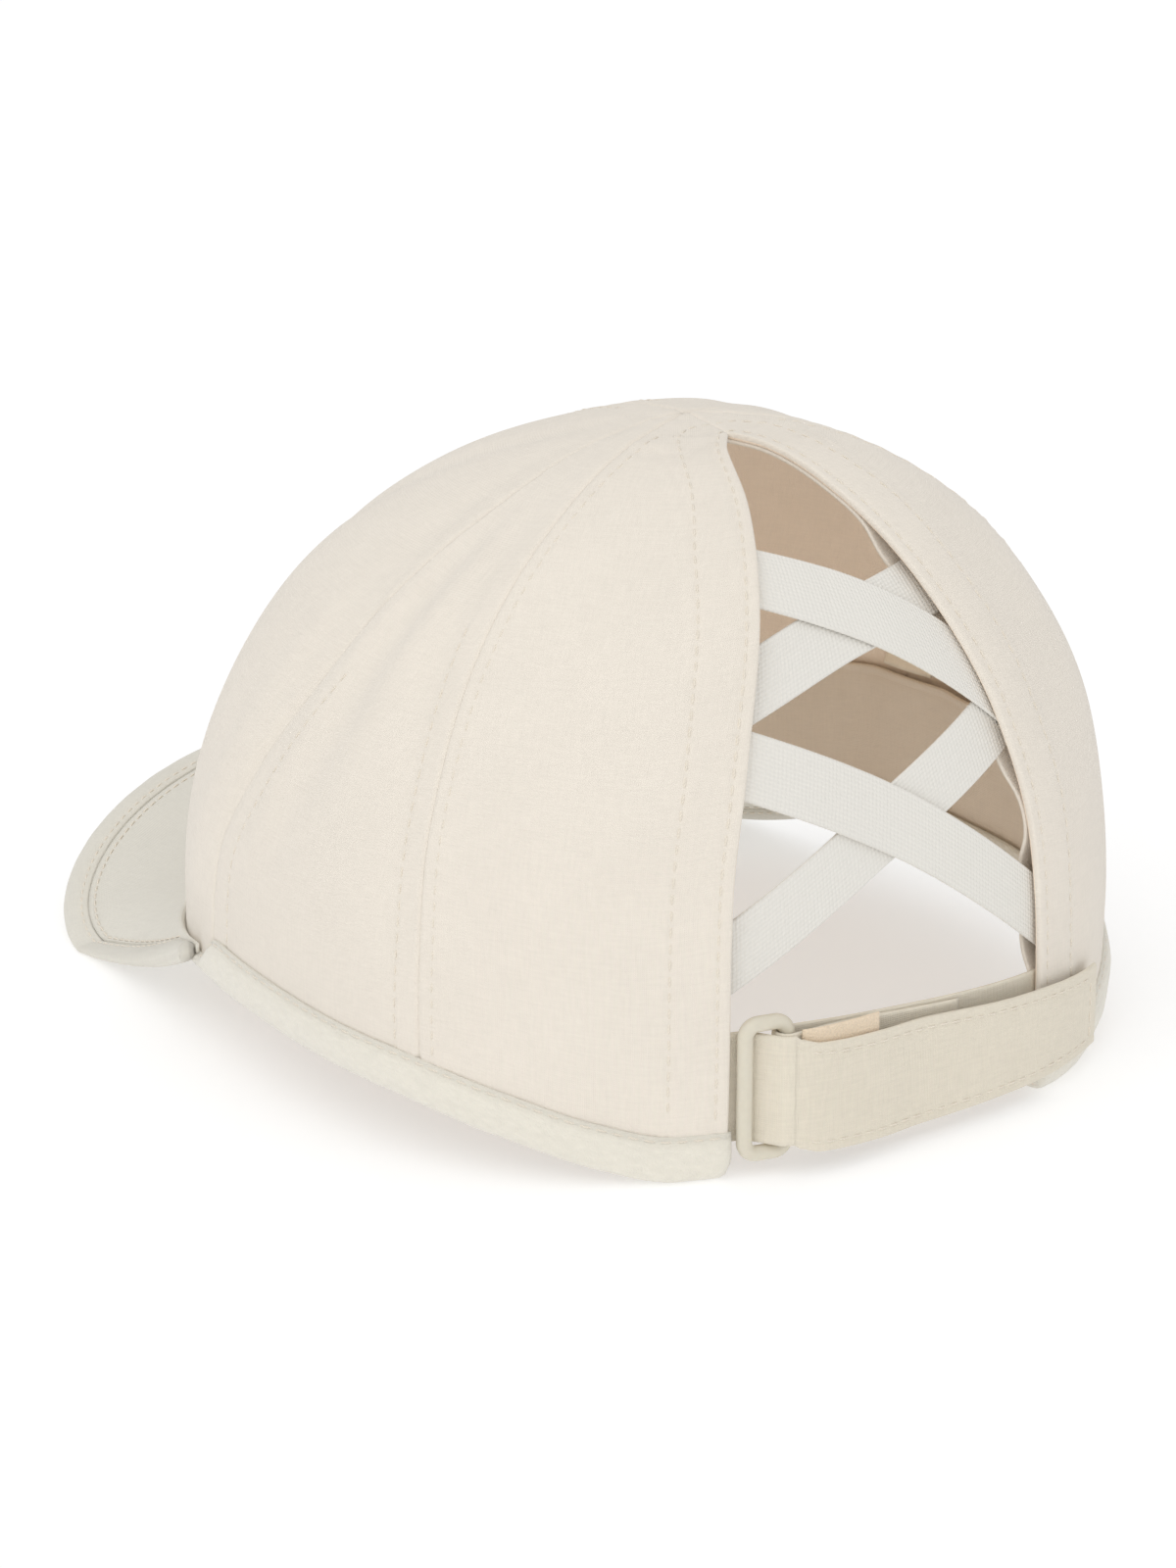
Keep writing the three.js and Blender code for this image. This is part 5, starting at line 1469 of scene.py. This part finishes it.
class CAP_OT_finishes(bpy.types.Operator):
    """Make the materials of the cap"""
    bl_idname = "cap.finishes"
    bl_label = "Make finishes"

    def execute(self, context):
        colours = context.scene.cap_colours
        sizes = context.scene.cap_sizes
        weave = sizes.weave * 1000
        cloth_finish("cotton plain weave", colours.cloth, weave, 0.02, 0.05)
        # The peak's finish is the crown cotton in a darker, greyer colour: painted shade.
        cloth_finish("peak cotton weave with painted shade", colours.peak, weave, 0.02, 0.05)
        # The inner faces take the lining colour, whose extra lightness and warmth are painted light.
        cloth_finish("lining cotton with painted light", colours.lining, weave, 0.02, 0.05)
        cloth_finish("bias tape cotton", colours.tape, weave, 0.015, 0.05)
        cloth_finish("sweatband cotton", colours.band, weave, 0.02, 0.06)
        cloth_finish("cotton strap weave", colours.strap, sizes.strap_weave * 1000, 0.03, 0.06)
        towelling_finish("cotton towelling", colours.towelling)
        elastic_finish("knitted elastic", colours.elastic)
        # Brushed nylon loops: a matt, fuzzy, uneven surface.
        # Its pattern is drawn darker where it is low: painted shade in the hollows of the pile.
        patterned_finish(
            "loop pile", colours.pile, CLOTH_PLACE,
            "ShaderNodeTexNoise", {"Scale": 2.2, "Detail": 3.0, "Roughness": 0.6},
            (0.3, 0.7, 0.88, 1.08), 0.0004,
            {"Roughness": 0.95, "IOR": 1.53, "Specular IOR Level": 0.2, "Sheen Weight": 0.6})
        # Moulded nylon: milky, a little see-through at its edges, with a satin gloss. The mould's fine
        # grain is drawn about 1 mm wide, because the real one is too fine to show.
        # The grain's low places are drawn slightly darker: painted shade.
        patterned_finish(
            "moulded nylon", colours.nylon, OBJECT_PLACE,
            "ShaderNodeTexNoise", {"Scale": 900.0, "Detail": 2.0}, (0.3, 0.7, 0.98, 1.01), 0.00004,
            {"Roughness": 0.38, "IOR": 1.53, "Subsurface Weight": 0.5, "Subsurface Scale": 0.0015,
             "Subsurface Radius": (1.0, 0.95, 0.85)}, 0.4)
        # Spun polyester sewing thread: two plies twisted together, slightly shiny.
        # The grooves between the plies are drawn darker: painted shade.
        patterned_finish(
            "sewing thread", colours.thread, CLOTH_PLACE, "ShaderNodeTexWave",
            {"wave_type": "BANDS", "bands_direction": "DIAGONAL", "Scale": 0.9, "Distortion": 0.0},
            (0.0, 1.0, 0.92, 1.03), 0.00005, {"Roughness": 0.6, "IOR": 1.55, "Sheen Weight": 0.2})
        # Seamless white paper: matt, and lit enough to look white right up to the cap. Its fibres are
        # too fine to show, so its grain is drawn about 2.5 mm wide.
        patterned_finish(
            "white paper", colours.floor, OBJECT_PLACE,
            "ShaderNodeTexNoise", {"Scale": 400.0, "Detail": 2.0}, None, 0.00005,
            {"Roughness": 0.95, "Specular IOR Level": 0.0, "Emission Color": (1.0, 1.0, 1.0, 1.0),
             "Emission Strength": FLOOR_GLOW}, 0.2)
        return {"FINISHED"}


class CAP_OT_crown(bpy.types.Operator):
    """Make the six cloth panels of the crown"""
    bl_idname = "cap.crown"
    bl_label = "Make crown"

    def execute(self, context):
        for name, side in (("left", 1), ("right", -1)):
            middle = seam_edge("middle", side, -side)
            front = seam_edge("front", side, side)
            make_panel(f"crown_front_{name}", front, middle, EDGE_LINES, 112)
            near = seam_edge("side", side, side)
            far = seam_edge("front", side, -side)
            make_panel(f"crown_side_{name}", near, far, EDGE_LINES, 70)
            far = seam_edge("side", side, -side)
            make_panel(f"crown_rear_{name}", opening_edge(side), far, OPENING_LINES, 72)
        return {"FINISHED"}


class CAP_OT_inside(bpy.types.Operator):
    """Make the seam tapes, the sweatband and the turned strip by the opening"""
    bl_idname = "cap.inside"
    bl_label = "Make inside trims"

    def execute(self, context):
        apart = SEAMS["front"][-2] - SEAMS["side"][-2]
        tapes = (
            ("side", 1, PANEL_SPREAD), ("side", -1, PANEL_SPREAD), ("front", 1, apart), ("front", -1, apart),
            ("middle", 1, PANEL_SPREAD),
        )
        for i, (seam, side, separation) in enumerate(tapes):
            make_tape(f"seam_tape_{i + 1}", seam, side, separation)
        make_facing()
        make_sweatband()
        return {"FINISHED"}


class CAP_OT_hem(bpy.types.Operator):
    """Make the towelling band round the lower edge"""
    bl_idname = "cap.hem"
    bl_label = "Make hem"

    def execute(self, context):
        make_hem()
        return {"FINISHED"}


class CAP_OT_elastics(bpy.types.Operator):
    """Make the four flat elastics across the opening"""
    bl_idname = "cap.elastics"
    bl_label = "Make elastics"

    def execute(self, context):
        for row in ELASTICS:
            make_elastic(**row)
        return {"FINISHED"}


class CAP_OT_closure(bpy.types.Operator):
    """Make the strap, its ring, the strap that holds the ring, and the loop patch"""
    bl_idname = "cap.closure"
    bl_label = "Make closure"

    def execute(self, context):
        make_strap()
        make_anchor()
        make_patch()
        make_ring()
        return {"FINISHED"}


class CAP_OT_peak(bpy.types.Operator):
    """Make the peak and its padded rim"""
    bl_idname = "cap.peak"
    bl_label = "Make peak"

    def execute(self, context):
        make_peak()
        make_peak_rim()
        return {"FINISHED"}


class CAP_OT_stitches(bpy.types.Operator):
    """Sew the rows of stitches"""
    bl_idname = "cap.stitches"
    bl_label = "Make stitches"

    def execute(self, context):
        sizes = context.scene.cap_sizes
        sewing = [round(size * 1000, 4) for size in (sizes.stitch, sizes.stitch_gap, sizes.thread)]
        make_stitches("crown_stitches", crown_stitch_runs(), "crown_cloth", *sewing)
        make_stitches("opening_stitches", opening_stitch_runs(), "crown_cloth", *sewing)
        make_stitches("hem_stitches", hem_stitch_runs(), "towelling", *sewing)
        make_stitches("peak_stitches", peak_stitch_runs(), "crown_cloth", *sewing)
        make_stitches("strap_stitches", strap_stitch_runs(), "strap_cloth", *sewing)
        return {"FINISHED"}


# The camera, in degrees and millimetres, measured in the crown's own frame.
VIEW_ANGLE = 146.299
VIEW_RISE = 18.8
VIEW_DISTANCE = 859.2
VIEW_FOCUS = 4380.2
VIEW_ASIDE = -10.5907
VIEW_HEIGHT = 46.5907
IMAGE_LONG_SIDE = 1600
FLOOR_RINGS = (0.4, 1.5, 5, 14.0)
FLOOR_GLOW = 0.44
# Soft lights: where each stands, in degrees round the cap and above the floor, how wide it looks
# from the cap, in degrees, its share of the light on a surface that faces it, and its tint.
LIGHTS = (
    {"name": "key", "round": 102, "rise": 58, "spread": 60, "share": 0.15, "tint": (1.0, 0.99, 0.97)},
    {"name": "front", "round": 146, "rise": 20, "spread": 70, "share": 0.14, "tint": (1.0, 1.0, 1.0)},
    {"name": "top", "round": 150, "rise": 78, "spread": 90, "share": 0.18, "tint": (1.0, 1.0, 1.0)},
)
WORLD_SHARE = 0.56


def direction(around, rise):
    """Way from the cap towards a place, from its angles in degrees."""
    turn, tilt = math.radians(around), math.radians(rise)
    return np.array([math.sin(turn) * math.cos(tilt), -math.cos(turn) * math.cos(tilt), math.sin(tilt)])


def add_light(name, around, rise, spread_angle, share, tint):
    """A wide, far light, with the share of light that it gives a surface facing it."""
    data = bpy.data.lights.new(name, "SUN")
    data.angle = math.radians(spread_angle)
    data.energy = share * math.pi
    data.color = tint
    light = bpy.data.objects.new(name, data)
    way = Vector(direction(around, rise))
    light.location = way
    light.rotation_euler = (-way).to_track_quat("-Z", "Y").to_euler()
    bpy.context.scene.collection.objects.link(light)


class CAP_OT_stage(bpy.types.Operator):
    """Set up the paper floor, the soft lights and the camera"""
    bl_idname = "cap.stage"
    bl_label = "Set up stage"

    def execute(self, context):
        scene = context.scene
        angle = np.radians(np.arange(0, 360, 5))
        rings = [np.stack([r * np.cos(angle), r * np.sin(angle), 0 * angle], -1) for r in FLOOR_RINGS]
        count = len(angle)
        points = np.concatenate([[[0.0, 0.0, 0.0]]] + rings)
        faces = [(0, 1 + i, 1 + (i + 1) % count) for i in range(count)]
        for ring in range(len(rings) - 1):
            low = 1 + ring * count
            for i in range(count):
                j = (i + 1) % count
                faces.append((low + i, low + count + i, low + count + j, low + j))
        mesh = bpy.data.meshes.new("paper_floor")
        mesh.from_pydata([tuple(p) for p in points], [], faces)
        mesh.materials.append(bpy.data.materials["white paper"])
        floor = bpy.data.objects.new("paper_floor", mesh)
        scene.collection.objects.link(floor)

        world = bpy.data.worlds.new("soft studio")
        world.use_nodes = True
        back = world.node_tree.nodes["Background"]
        back.inputs["Color"].default_value = (1.0, 1.0, 1.0, 1.0)
        back.inputs["Strength"].default_value = WORLD_SHARE
        scene.world = world

        for light in LIGHTS:
            add_light(*light.values())

        turn = math.radians(VIEW_ANGLE)
        back_way = direction(VIEW_ANGLE, VIEW_RISE)
        right = np.array([math.cos(turn), math.sin(turn), 0.0])
        upward = np.cross(back_way, right)
        target = right * VIEW_ASIDE + np.array([0.0, 0.0, VIEW_HEIGHT])
        place = (target + VIEW_DISTANCE * back_way + OFFSET) * 0.001
        data = bpy.data.cameras.new("camera")
        data.sensor_fit = "AUTO"
        data.sensor_width = 36.0
        data.lens = VIEW_FOCUS * data.sensor_width / IMAGE_LONG_SIDE
        data.clip_start = 0.01
        data.clip_end = 100.0
        camera = bpy.data.objects.new("camera", data)
        turned = Matrix((right, upward, back_way)).transposed().to_4x4()
        camera.matrix_world = Matrix.Translation(place) @ turned
        scene.collection.objects.link(camera)
        scene.camera = camera
        scene.view_settings.view_transform = "Standard"
        return {"FINISHED"}


OPERATORS = (
    CAP_OT_finishes, CAP_OT_crown, CAP_OT_inside, CAP_OT_hem, CAP_OT_elastics, CAP_OT_closure, CAP_OT_peak,
    CAP_OT_stitches, CAP_OT_stage,
)


class CAP_PT_panel(bpy.types.Panel):
    """Lists the steps that make the cap"""
    bl_label = "Ponytail cap"
    bl_idname = "CAP_PT_panel"
    bl_space_type = "VIEW_3D"
    bl_region_type = "UI"
    bl_category = "Cap"

    def draw(self, context):
        for operator in OPERATORS:
            self.layout.operator(operator.bl_idname)
        for group in (context.scene.cap_colours, context.scene.cap_sizes):
            for name in type(group).__annotations__:
                self.layout.prop(group, name)


CLASSES = (CapColours, CapSizes, *OPERATORS, CAP_PT_panel)


def register():
    for entry in CLASSES:
        bpy.utils.register_class(entry)
    bpy.types.Scene.cap_colours = bpy.props.PointerProperty(type=CapColours)
    bpy.types.Scene.cap_sizes = bpy.props.PointerProperty(type=CapSizes)


def unregister():
    del bpy.types.Scene.cap_sizes
    del bpy.types.Scene.cap_colours
    for entry in reversed(CLASSES):
        bpy.utils.unregister_class(entry)


def main():
    register()
    for operator in OPERATORS:
        getattr(bpy.ops.cap, operator.bl_idname.split(".")[1])()


if __name__ == "__main__":
    main()
